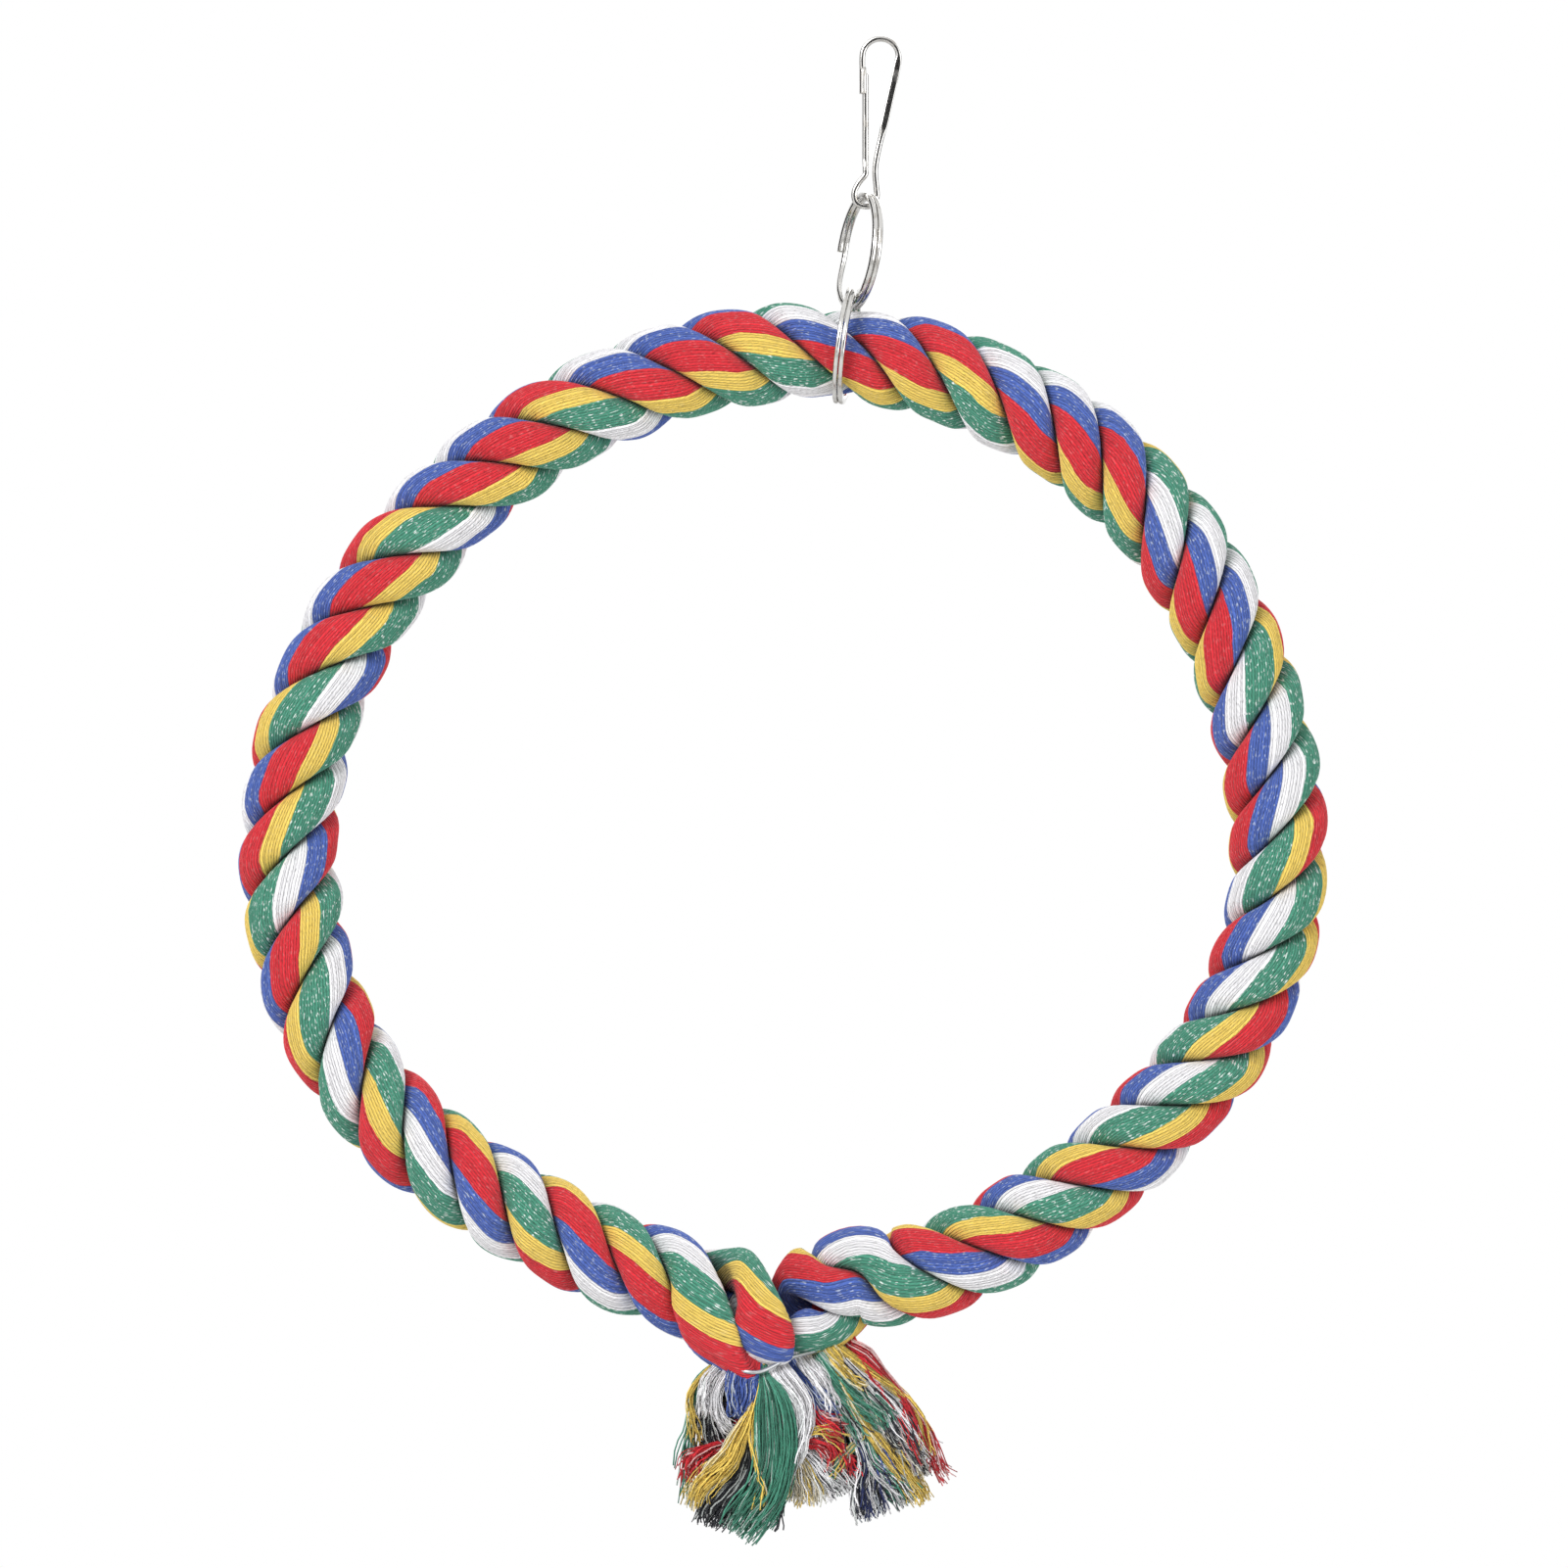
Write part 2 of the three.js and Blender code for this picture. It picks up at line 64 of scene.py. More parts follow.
ring_low, ring_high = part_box("lower_split_ring")
loop_centre = (np.array(ring_low) + np.array(ring_high)) / 2 - np.array([0.0, 0.0, LOOP_DROP])
picture_right = np.array([math.cos(PICTURE_ROLL), 0.0, math.sin(PICTURE_ROLL)])
picture_up = np.array([-math.sin(PICTURE_ROLL), 0.0, math.cos(PICTURE_ROLL)])
to_viewer = np.array([0.0, -1.0, 0.0])
picture_centre = loop_centre + np.array([PICTURE_ACROSS, 0.0, PICTURE_ABOVE])

camera_data = bpy.data.cameras.new("photo_camera")
camera_data.sensor_width = CAMERA_SENSOR
camera_data.lens = CAMERA_SENSOR * CAMERA_DISTANCE / PICTURE_WIDTH
camera = bpy.data.objects.new("photo_camera", camera_data)
camera_turn = np.stack([picture_right, picture_up, to_viewer], axis=1)
camera_place = picture_centre + CAMERA_DISTANCE * to_viewer
camera.matrix_world = Matrix.Translation(Vector(camera_place)) @ Matrix(camera_turn.tolist()).to_4x4()
bpy.context.scene.collection.objects.link(camera)
bpy.context.scene.camera = camera

# Rope: three cotton strands laid right-handed round a wire core and bent into a loop by hand.
# Its centre line repeats the frame's route round the loop. Its two ends stop above the tie, where the
# strands leave the lay.
MILLIMETRE = 0.001
LOOP_RADIUS = 114
LOOP_BEARINGS = np.append(np.arange(-165, 151, 15), 158)
LOOP_OUTSIDE = np.array([
    -3.9, -3.0, 1.7, 4.7, 4.6, 3.1, 0.7, -1.7, -2.4, -1.6, 0.1, 1.9,
    2.9, 3.3, 3.5, 3.3, 4.3, 5.6, 3.8, -0.6, -3.2, -3.4, -3.9,
])
TIE_ACROSS = 19.8
TIE_DROP = 9.5
TIE_SLOPE = math.radians(18.4)
NECK_DIAMETER = 17.5
NECK_DEPTH_STEP = 7
NECK_GAP = 0.3
LEFT_BEND = np.array([
    [9.4, -1.0, 9.8], [-0.2, -0.8, 11.0], [-8.2, 0.4, 12.0], [-16.1, 1.8, 13.4], [-23.5, 3.1, 15.8],
])
RIGHT_BEND = np.array([[5.2, -2.6, 18.4], [-0.4, -0.6, 14.8], [-6.8, 1.8, 11.4], [-13.6, 4.0, 8.3]])
ROUTE_STEPS = 24
ROPE_STEPS = 720

tie_axis = np.array([math.sin(TIE_SLOPE), 0.0, -math.cos(TIE_SLOPE)])
tie_across = np.array([-tie_axis[2], 0.0, tie_axis[0]])
tie_back = np.array([0.0, 1.0, 0.0])
tie_centre = np.array([TIE_ACROSS, 0.0, -LOOP_RADIUS - TIE_DROP])
neck_spread = math.sqrt((NECK_DIAMETER + NECK_GAP) ** 2 - NECK_DEPTH_STEP ** 2)
left_neck = tie_centre - tie_across * neck_spread / 2 - tie_back * NECK_DEPTH_STEP / 2
right_neck = tie_centre + tie_across * neck_spread / 2 + tie_back * NECK_DEPTH_STEP / 2


def smooth_line(points, steps):
    """A smooth curve through the points: between each two of them a cubic that leaves and arrives at
    the slope of its neighbours, which are weighed by the square roots of their distances."""
    ends = np.vstack([2 * points[0] - points[1], points, 2 * points[-1] - points[-2]])
    before, start, end, after = ends[:-3], ends[1:-2], ends[2:-1], ends[3:]
    gap_before = np.sqrt(np.linalg.norm(start - before, axis=1))[:, None]
    gap = np.sqrt(np.linalg.norm(end - start, axis=1))[:, None]
    gap_after = np.sqrt(np.linalg.norm(after - end, axis=1))[:, None]
    leave = (start - before) / gap_before - (end - before) / (gap_before + gap) + (end - start) / gap
    arrive = (end - start) / gap - (after - start) / (gap + gap_after) + (after - end) / gap_after
    share = np.linspace(0, 1, steps, endpoint=False)[None, :, None]
    start, end = start[:, None], end[:, None]
    leave, arrive = (leave * gap)[:, None], (arrive * gap)[:, None]
    square = 3 * (end - start) - 2 * leave - arrive
    cube = 2 * (start - end) + leave + arrive
    line = start + share * (leave + share * (square + share * cube))
    return np.vstack([line.reshape(-1, points.shape[1]), points[-1]])


def lengths_along(line):
    """Distance along a line of points from its first point to each of them."""
    return np.append(0.0, np.cumsum(np.linalg.norm(np.diff(line, axis=0), axis=1)))


def even_line(line, count):
    """The same line with its points an equal distance apart."""
    lengths = lengths_along(line)
    places = np.linspace(0, lengths[-1], count)
    return np.stack([np.interp(places, lengths, column) for column in line.T], axis=1)


def unit(vectors):
    """The same vectors, each divided by its own length."""
    return vectors / np.linalg.norm(vectors, axis=-1, keepdims=True)


loop_turns = np.radians(LOOP_BEARINGS)
loop_points = np.stack([np.sin(loop_turns), np.zeros_like(loop_turns), np.cos(loop_turns)], axis=1)
loop_points *= (LOOP_RADIUS + LOOP_OUTSIDE)[:, None]
route_points = np.vstack([left_neck + LEFT_BEND, loop_points, right_neck + RIGHT_BEND])
route_line = smooth_line(route_points, ROUTE_STEPS)
seat_row = ROUTE_STEPS * (len(LEFT_BEND) + int(np.argmin(np.abs(LOOP_BEARINGS))))
seat_length = lengths_along(route_line)[seat_row]
rope_line = even_line(route_line, ROPE_STEPS + 1)
rope_length = lengths_along(route_line)[-1]
rope_lengths = np.linspace(0, rope_length, ROPE_STEPS + 1)
rope_tangent = unit(np.gradient(rope_line, axis=0))
rope_outward = unit(np.cross(to_viewer, rope_tangent))
rope_front = np.cross(rope_tangent, rope_outward)

# Core wire: galvanised iron wire inside the rope that keeps the loop round. It is hidden by the
# strands, so the frame's own wire stays and gets its dull zinc finish.
ZINC = (0.42, 0.43, 0.44, 1.0)
ZINC_SPANGLE = (0.62, 0.63, 0.64, 1.0)
ZINC_GRAIN = 900.0
ZINC_ROUGHNESS = (0.28, 0.5)
ZINC_RELIEF = 0.00004
ZINC_RELIEF_STRENGTH = 0.5


def start_material(name):
    """A new material with only a Principled shader on its output."""
    material = bpy.data.materials.new(name)
    material.use_nodes = True
    return material, material.node_tree, material.node_tree.nodes["Principled BSDF"]


def add_node(tree, kind, inputs=None, **settings):
    """A node with its settings, and its inputs given as plain values or as sockets to link."""
    made = tree.nodes.new(kind)
    for name, value in settings.items():
        setattr(made, name, value)
    for name, value in (inputs or {}).items():
        if isinstance(value, bpy.types.NodeSocket):
            tree.links.new(value, made.inputs[name])
        else:
            made.inputs[name].default_value = value
    return made


def work_out(tree, operation, first, second=0.0):
    """The output of a Math node on two values or sockets."""
    return add_node(tree, "ShaderNodeMath", {0: first, 1: second}, operation=operation).outputs[0]


def spread_over(tree, value, low, high, from_low=0.0, from_high=1.0):
    """The output of a Map Range node that takes a value between two bounds to two others."""
    bounds = {"Value": value, "From Min": from_low, "From Max": from_high, "To Min": low, "To Max": high}
    return add_node(tree, "ShaderNodeMapRange", bounds).outputs["Result"]


def shade_by(tree, colour, amount):
    """The colour with its value multiplied by an amount."""
    inputs = {"Color": colour, "Value": amount}
    return add_node(tree, "ShaderNodeHueSaturation", inputs).outputs["Color"]


def mix_colours(tree, share, first, second):
    """The output of a Mix node that goes from the first colour to the second as the share goes to one."""
    return add_node(tree, "ShaderNodeMix", {0: share, 6: first, 7: second}, data_type="RGBA").outputs[2]


def noise_over(tree, place, scale, detail=2.0):
    """The value of a Noise node over a place, with its scale and its number of finer layers."""
    inputs = {"Vector": place, "Scale": scale, "Detail": detail}
    return add_node(tree, "ShaderNodeTexNoise", inputs).outputs["Fac"]


def emboss(tree, shader, height, depth, strength):
    """A Bump node on the shader's normal, which shows the height as relief of a depth in metres."""
    inputs = {"Height": height, "Distance": depth, "Strength": strength}
    relief = add_node(tree, "ShaderNodeBump", inputs).outputs["Normal"]
    tree.links.new(relief, shader.inputs["Normal"])


def zinc_finish():
    """Grey zinc: two greys mixed by a fine noise, which also roughens and dents the surface."""
    material, tree, shader = start_material("zinc_wire_finish")
    place = add_node(tree, "ShaderNodeTexCoord").outputs["Object"]
    grain = noise_over(tree, place, ZINC_GRAIN)
    tree.links.new(mix_colours(tree, grain, ZINC, ZINC_SPANGLE), shader.inputs["Base Color"])
    shader.inputs["Metallic"].default_value = 1.0
    tree.links.new(spread_over(tree, grain, *ZINC_ROUGHNESS), shader.inputs["Roughness"])
    emboss(tree, shader, grain, ZINC_RELIEF, ZINC_RELIEF_STRENGTH)
    return material


zinc_material = zinc_finish()
core_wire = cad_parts["core_wire"]
core_wire.data.materials.clear()
core_wire.data.materials.append(zinc_material)

# Strands: each is spun from soft cotton yarns in five colours and pressed flat against the other two.
# The yarns twist back against the lay, so the colour bands run nearly along the rope. Near the tie the
# strands leave the lay and run down into it.
ROPE_RADIUS = 12.0
WAIST_DIAMETER = 20.5
WAIST_LENGTH = 9.0
# The lay: millimetres of rope to a turn in its four stretches, where they meet, and its turn at the rings.
LAY_LEFT_END = 36.6
LAY_LEFT = 44.6
LAY_TOP = 47.8
LAY_RIGHT = 43.3
LEFT_END_LENGTH = 24.4
LAY_TOP_START = -177
LAY_TOP_END = 46
LAY_AT_RINGS = 7.37
# Each strand: its section in millimetres, its length and thickness in metres, and its yarns.
STRAND_MIDDLE = 6.6
STRAND_DEEP = 5.4
STRAND_BROAD = 7.35
STRAND_GAP = 0.08
STRAND_SEED = 7
SECTION_POINTS = 721
SHOWN_SHARE = 0.82
YARNS = 45
COLUMNS_PER_YARN = 3
YARN_RIDGE = 0.17
YARN_UNEVEN = 0.1
YARN_SHIFT = 0.28
PLUMPNESS = 0.22
PLUMP_LENGTH = 31.0
WAVE_SIZES = np.array([1.0, 0.7, 0.5]) / 1.3
WAVE_RATES = np.array([1.0, 1.63, 2.71])
# The crease: how far round a strand its colour is darkened as painted shade in the grooves between strands,
# and over what lengths that painted shade fades near the strand ends.
CREASE_START = 0.335
CREASE_END = 0.41
CREASE_FADE = (2.0, 14.0)
# The colour at the crown of each strand at set turns of the lay, counted in bands from the first blue.
BAND_TURNS = np.concatenate([[-1.5, -1], np.arange(0, 15, 2), [14.7, 15.05, 15.35, 16]])
BAND_AT_FRONT = {
    "strand_a": [3.5, 3.0, 2.0, 0.0, -1.0, -2.0, -2.5, -4.0, -6.0, -8.0, -9.07, -9.6, -10.0, -11.0],
    "strand_b": [1.0, 1.75, 0.7, -1.5, -2.9, -3.7, -4.3, -6.1, -7.75, -9.5, -10.63, -10.8, -10.8, -10.8],
    "strand_c": [2.3, 3.15, 3.3, 2.0, 1.75, 1.75, 1.3, 0.1, -1.1, -1.5, -1.57, -1.6, -1.65, -1.7],
}
# The left and the right tip of each strand: how far short of the rope's end it stops, and the length
# along which it rounds off.
STRAND_TIPS = {
    "strand_a": ((12.0, 5.0), (0.0, 6.0)),
    "strand_b": ((1.5, 7.0), (0.5, 3.5)),
    "strand_c": ((7.5, 5.5), (2.0, 5.0)),
}
TIP_LEAST = 0.03
# How each end leaves the lay: its step across, up and back, the length that takes, and its breadth.
STRAND_DRIFTS = {
    "strand_a": ((1.8, -13, 3.4, 8, 1.0), (3.5, -9, -2, 9, 0.9)),
    "strand_b": ((-2.8, 0.3, -4, 14, 1.22), (4.0, -5.2, -5, 20, 0.8)),
    "strand_c": ((-0.3, -7.0, -7, 20, 1.2), (5, -4.5, -2.5, 16, 0.9)),
}
LOOSE_FROM = 0.4
LOOSE_TO = 1.4
# The step across and up of the shoulder that each strand makes before its left end.
SHOULDERS = {"strand_a": (0, 0), "strand_b": (4.3, 0.8), "strand_c": (0, 0)}
SHOULDER_PLACE = 22.0
SHOULDER_LENGTH = 12.0
# The dyes as red, green and blue on a screen, and the yarns of each band of a strand and its share of
# pale flecks, which are painted highlights.
DYES = {
    "blue": (74, 101, 180),
    "red": (216, 38, 51),
    "yellow": (243, 209, 99),
    "green": (72, 147, 122),
    "white": (247, 246, 249),
    "charcoal": (38, 40, 48),
    "cream": (226, 216, 190),
    "navy": (34, 48, 104),
}
BAND_YARNS = {"blue": 8, "red": 11, "yellow": 7, "green": 11, "white": 8}
BAND_HIGHLIGHT_FLECKS = {"blue": 0.4, "red": 0.1, "yellow": 0.08, "green": 0.85, "white": 0.0}
BAND_WANDER = 0.9
BAND_WANDER_GRAIN = 160.0
# The pale colour of the painted highlights: flecks along the strands' yarns and paler yarns in the locks.
PAINTED_HIGHLIGHT = (0.86, 0.92, 0.89, 1.0)
YARN_SHADES = (0.86, 1.1)
YARN_TWIST = 650.0
# The twist lightens and darkens each yarn's colour along it as painted light and shade, and shapes its
# relief.
TWIST_PAINTED_LIGHT = (0.9, 1.06)
TWIST_HEIGHT = 0.2
STREAK_STRETCH = (190.0, 260.0, 1.0)
STREAK_DETAIL = 3.0
STREAK_RANGE = (0.25, 0.75)
STREAK_SHADES = (0.74, 1.22)
STREAK_HEIGHT = 0.6
SPECK_STRETCH = (100.0, 700.0, 1.0)
SPECK_DETAIL = 1.0
# The noise ranges of the pale specks, which are painted highlights, and of the dark specks.
HIGHLIGHT_SPECKS = (0.61, 0.67)
DARK_SPECKS = (0.31, 0.38)
DARK_SPECK_SHADE = 0.66
CREASE_SHADE = 0.3
# Painted shade in the hollows between yarns: each yarn's colour darkens towards its edges. The hollows also
# shape the relief.
HOLLOW_POWER = 4.0
HOLLOW_PAINTED_SHADE = (1.04, 0.5)
COTTON_ROUGHNESS = (0.78, 0.95)
COTTON_SHEEN = 0.15
COTTON_SHEEN_ROUGHNESS = 0.5
COTTON_RELIEF = 0.00025
COTTON_RELIEF_STRENGTH = 0.7


def dye(name):
    """A dye's colour as linear light: its red, green and blue on a screen, taken through the screen's
    own curve, which is straight in the darks and a power above them."""
    screen = np.array(DYES[name]) / 255
    linear = np.where(screen <= 0.04045, screen / 12.92, ((screen + 0.055) / 1.055) ** 2.4)
    return (*linear.tolist(), 1.0)


def ease(value, start, end):
    """Nought before start, one after end and a smooth step between them."""
    share = np.clip((value - start) / (end - start), 0, 1)
    return share * share * (3 - 2 * share)


def rope_radius(lengths):
    """Radius over the crowns: the rope's own, drawn in by a bell curve at the rings."""
    waist = (2 * ROPE_RADIUS - WAIST_DIAMETER) * np.exp(-((lengths - seat_length) / WAIST_LENGTH) ** 2)
    return ROPE_RADIUS - waist / 2


def lay_turns(lengths):
    """Turns of the lay along the rope: four stretches, each with its own length to a turn."""
    from_seat = lengths - seat_length
    over_top = np.clip(from_seat, LAY_TOP_START, LAY_TOP_END) / LAY_TOP
    at_left = np.minimum(from_seat - LAY_TOP_START, 0) / LAY_LEFT
    at_right = np.maximum(from_seat - LAY_TOP_END, 0) / LAY_RIGHT
    at_left_end = np.minimum(lengths - LEFT_END_LENGTH, 0) * (1 / LAY_LEFT_END - 1 / LAY_LEFT)
    return LAY_AT_RINGS + over_top + at_left + at_right + at_left_end


def strand_section():
    """Outline of one strand cut across, with its share of a turn from the crown: an oval pressed flat
    where it would pass the two planes that part it from its neighbours. The outside that shows takes
    a set share of the turn, by length, and the hidden rest takes what is left."""
    turn = np.linspace(-np.pi, np.pi, SECTION_POINTS)
    out = STRAND_MIDDLE + STRAND_DEEP * np.cos(turn)
    aside = STRAND_BROAD * np.sin(turn)
    wall_out, wall_aside = -math.sin(math.pi / 3), math.cos(math.pi / 3)
    past = np.maximum(out * wall_out + np.abs(aside) * wall_aside + STRAND_GAP / 2, 0)
    first_flat = np.min(np.abs(turn[past > 0]))
    shown = np.abs(turn[1:] + turn[:-1]) / 2 < first_flat
    out = out - wall_out * past
    aside = aside - np.sign(aside) * wall_aside * past
    steps = np.hypot(np.diff(out), np.diff(aside))
    shown_steps = steps * SHOWN_SHARE / steps[shown].sum()
    hidden_steps = steps * (1 - SHOWN_SHARE) / steps[~shown].sum()
    share = np.append(0.0, np.cumsum(np.where(shown, shown_steps, hidden_steps))) - 0.5
    normal_out, normal_aside = np.gradient(aside), -np.gradient(out)
    size = np.hypot(normal_out, normal_aside)
    return share, out, aside, normal_out / size, normal_aside / size


def slow_wave(lengths, wave_length, random):
    """A wandering value near nought along the rope: three sines of unlike length added up."""
    phases = random.uniform(0, 2 * np.pi, len(WAVE_SIZES))
    rates = 2 * np.pi / wave_length * WAVE_RATES
    return np.sum(WAVE_SIZES * np.sin(rates * lengths[:, None] + phases), axis=1)


def follow(values, lengths):
    """Values known at each step of the rope, read at other lengths along it."""
    return np.stack([np.interp(lengths, rope_lengths, column) for column in values.T], axis=1)


def yarn_places(name, turns, random):
    """Where each column of points lies round the strand, as a share of a turn from the crown. Each yarn
    has three columns, the first of them in the groove beside it. It turns twice against the strand in
    each turn of the lay, plus the slip of the colour bands."""
    columns = np.arange(YARNS * COLUMNS_PER_YARN) / COLUMNS_PER_YARN
    edges = np.arange(YARNS) + random.uniform(-YARN_SHIFT, YARN_SHIFT, YARNS)
    edges = np.append(edges, edges[0] + YARNS)
    own_place = np.interp(columns, np.arange(YARNS + 1), edges) / YARNS
    slip = np.interp(turns, BAND_TURNS, BAND_AT_FRONT[name]) / len(BAND_YARNS)
    place = own_place - slip[:, None] - 2 * turns[:, None]
    return (place + 0.5) % 1.0 - 0.5


def strand_drift(name, from_ends):
    """How far a strand strays from the lay along its length: at both ends a step that eases in over its
    own length, and before the left end a bell-shaped shoulder."""
    drift = np.zeros((len(from_ends[0]), 3))
    for (across, rise, back, reach, _), from_end in zip(STRAND_DRIFTS[name], from_ends):
        step = across * picture_right + rise * picture_up + back * tie_back
        drift += (1 - ease(from_end, 0, reach))[:, None] * step
    across, rise = SHOULDERS[name]
    bell = np.exp(-((from_ends[0] - SHOULDER_PLACE) / SHOULDER_LENGTH) ** 2)
    return drift + bell[:, None] * (across * picture_right + rise * picture_up)


def strand_grid(number, name):
    """Points of one strand: a row for each step along the rope and a column for each place round the
    strand. The section stands square to the rope at the strand's own turn in the lay and rounds off at
    the tips. Where the strand leaves the lay, its section turns square to its own path and takes another
    breadth. The path and the depth of each point in the crease between strands, which darkens the cotton
    there as painted shade, are given as well."""
    random = np.random.default_rng(STRAND_SEED + number)
    (left_tip, left_taper), (right_tip, right_taper) = STRAND_TIPS[name]
    lengths = np.linspace(left_tip, rope_length - right_tip, ROPE_STEPS + 1)
    from_ends = (lengths - lengths[0], lengths[-1] - lengths)
    turns = lay_turns(lengths) - number / 3
    place = yarn_places(name, turns, random)
    radius = rope_radius(lengths) + PLUMPNESS * slow_wave(lengths, PLUMP_LENGTH, random)
    scale = radius[:, None] / ROPE_RADIUS
    middle = STRAND_MIDDLE * scale
    from_tip = np.minimum(from_ends[0] / left_taper, from_ends[1] / right_taper)
    fullness = np.sqrt(1 - (1 - np.clip(from_tip, TIP_LEAST, 1)) ** 2)[:, None]
    level = np.repeat(-YARN_UNEVEN * random.random(YARNS), COLUMNS_PER_YARN)
    level[::COLUMNS_PER_YARN] -= YARN_RIDGE
    share, out, aside, normal_out, normal_aside = strand_section()
    rise_out = middle + (np.interp(place, share, out) * scale - middle) * fullness
    rise_out = rise_out + np.interp(place, share, normal_out) * level
    along_side = np.interp(place, share, aside) * scale * fullness
    along_side = along_side + np.interp(place, share, normal_aside) * level
    line, outward, front = [follow(values, lengths) for values in (rope_line, rope_outward, rope_front)]
    line = line + strand_drift(name, from_ends)
    turn = np.pi / 2 + 2 * np.pi * turns
    away = outward * np.cos(turn)[:, None] + front * np.sin(turn)[:, None]
    beside = front * np.cos(turn)[:, None] - outward * np.sin(turn)[:, None]
    path = line + away * middle
    square = np.cross(np.gradient(path, axis=0), away)
    square *= (np.sign(np.sum(square * beside, axis=1)) / np.linalg.norm(square, axis=1))[:, None]
    for (*_, reach, breadth), from_end in zip(STRAND_DRIFTS[name], from_ends):
        loosed = (1 - ease(from_end, LOOSE_FROM * reach, LOOSE_TO * reach))[:, None]
        beside = beside + (breadth * square - beside) * loosed
    grid = line[:, None] + away[:, None] * rise_out[..., None]
    grid = grid + beside[:, None] * along_side[..., None]
    # Painted shade: the crease mask darkens the colour towards the grooves between strands, less near the
    # ends.
    crease = ease(np.abs(place), CREASE_START, CREASE_END)
    crease = crease * ease(np.minimum(*from_ends), *CREASE_FADE)[:, None]
    return loop_centre + grid * MILLIMETRE, loop_centre + path * MILLIMETRE, crease


def skin_tubes(name, rings, around, along, material):
    """One mesh of closed tubes: quads between the rings of each tube and a flat cap on both its ends.
    The rings are tubes by rows by sides, around is the map's first value at each side and once more
    for the seam, and along is its second value at each row."""
    tubes, rows, sides = rings.shape[:3]
    first = np.arange(tubes)[:, None, None] * rows * sides
    row = first + np.arange(rows - 1)[None, :, None] * sides
    side = np.arange(sides)[None, None, :]
    beside = (side + 1) % sides
    quads = np.stack([row + side, row + beside, row + sides + beside, row + sides + side], axis=-1)
    shape = quads.shape[:3]
    caps = np.stack([first[:, 0] + side[0, :, ::-1], first[:, 0] + (rows - 1) * sides + side[0]], axis=1)
    corners = np.concatenate([quads.ravel(), caps.ravel()]).astype(np.int32)
    sizes = np.concatenate([np.full(quads.size // 4, 4), np.full(2 * tubes, sides)])
    starts = np.append(0, np.cumsum(sizes)[:-1]).astype(np.int32)
    quad_around = np.stack([around[side], around[side + 1], around[side + 1], around[side]], axis=-1)
    quad_around = np.broadcast_to(quad_around, (*shape, 4))
    low = along[:, :-1, None]
    high = along[:, 1:, None]
    quad_along = np.broadcast_to(np.stack([low, low, high, high], axis=-1), (*shape, 4))
    cap_around = np.broadcast_to(np.stack([around[:-1][::-1], around[:-1]]), (tubes, 2, sides))
    cap_along = np.broadcast_to(np.stack([along[:, 0], along[:, -1]], axis=1)[..., None], (tubes, 2, sides))
    first_values = np.concatenate([quad_around.ravel(), cap_around.ravel()])
    second_values = np.concatenate([quad_along.ravel(), cap_along.ravel()])
    mesh = bpy.data.meshes.new(name)
    mesh.vertices.add(tubes * rows * sides)
    mesh.vertices.foreach_set("co", rings.astype(np.float32).ravel())
    mesh.loops.add(len(corners))
    mesh.loops.foreach_set("vertex_index", corners)
    mesh.polygons.add(len(sizes))
    mesh.polygons.foreach_set("loop_start", starts)
    mesh.polygons.foreach_set("use_smooth", np.ones(len(sizes), dtype=bool))
    mesh.update(calc_edges=True)
    layer = mesh.uv_layers.new(name="yarn_map")
    layer.data.foreach_set("uv", np.stack([first_values, second_values], axis=1).astype(np.float32).ravel())
    mesh.materials.append(material)
    piece = bpy.data.objects.new(name, mesh)
    bpy.context.scene.collection.objects.link(piece)
    return piece


def stretched_noise(tree, yarn_map, stretch, detail):
    """A noise over the yarn map, which is stretched so that the grains lie along the yarns."""
    stretched = add_node(tree, "ShaderNodeVectorMath", {0: yarn_map, 1: stretch}, operation="MULTIPLY")
    return noise_over(tree, stretched.outputs[0], 1.0, detail)


def yarn_ply(tree, along, rate, start):
    """The twist of a yarn: a sine of the length along it, times its turns to the metre, plus a start."""
    turned = work_out(tree, "ADD", work_out(tree, "MULTIPLY", along, rate), start)
    return work_out(tree, "SINE", work_out(tree, "MULTIPLY", turned, 2 * math.pi))


def band_ramp(tree, number):
    """A Color Ramp in steps: over a yarn's number, the dye of its band, and its share of painted highlight
    flecks as alpha.
    """
    share = work_out(tree, "DIVIDE", work_out(tree, "ADD", number, 0.5), float(YARNS))
    ramp = add_node(tree, "ShaderNodeValToRGB", {"Fac": share})
    ramp.color_ramp.interpolation = "CONSTANT"
    stops = ramp.color_ramp.elements
    edge = 0
    for name, count in BAND_YARNS.items():
        stop = stops.new(edge / YARNS) if edge else stops[0]
        stop.color = (*dye(name)[:3], BAND_HIGHLIGHT_FLECKS[name])
        edge += count
    stops.remove(stops[-1])
    return ramp.outputs


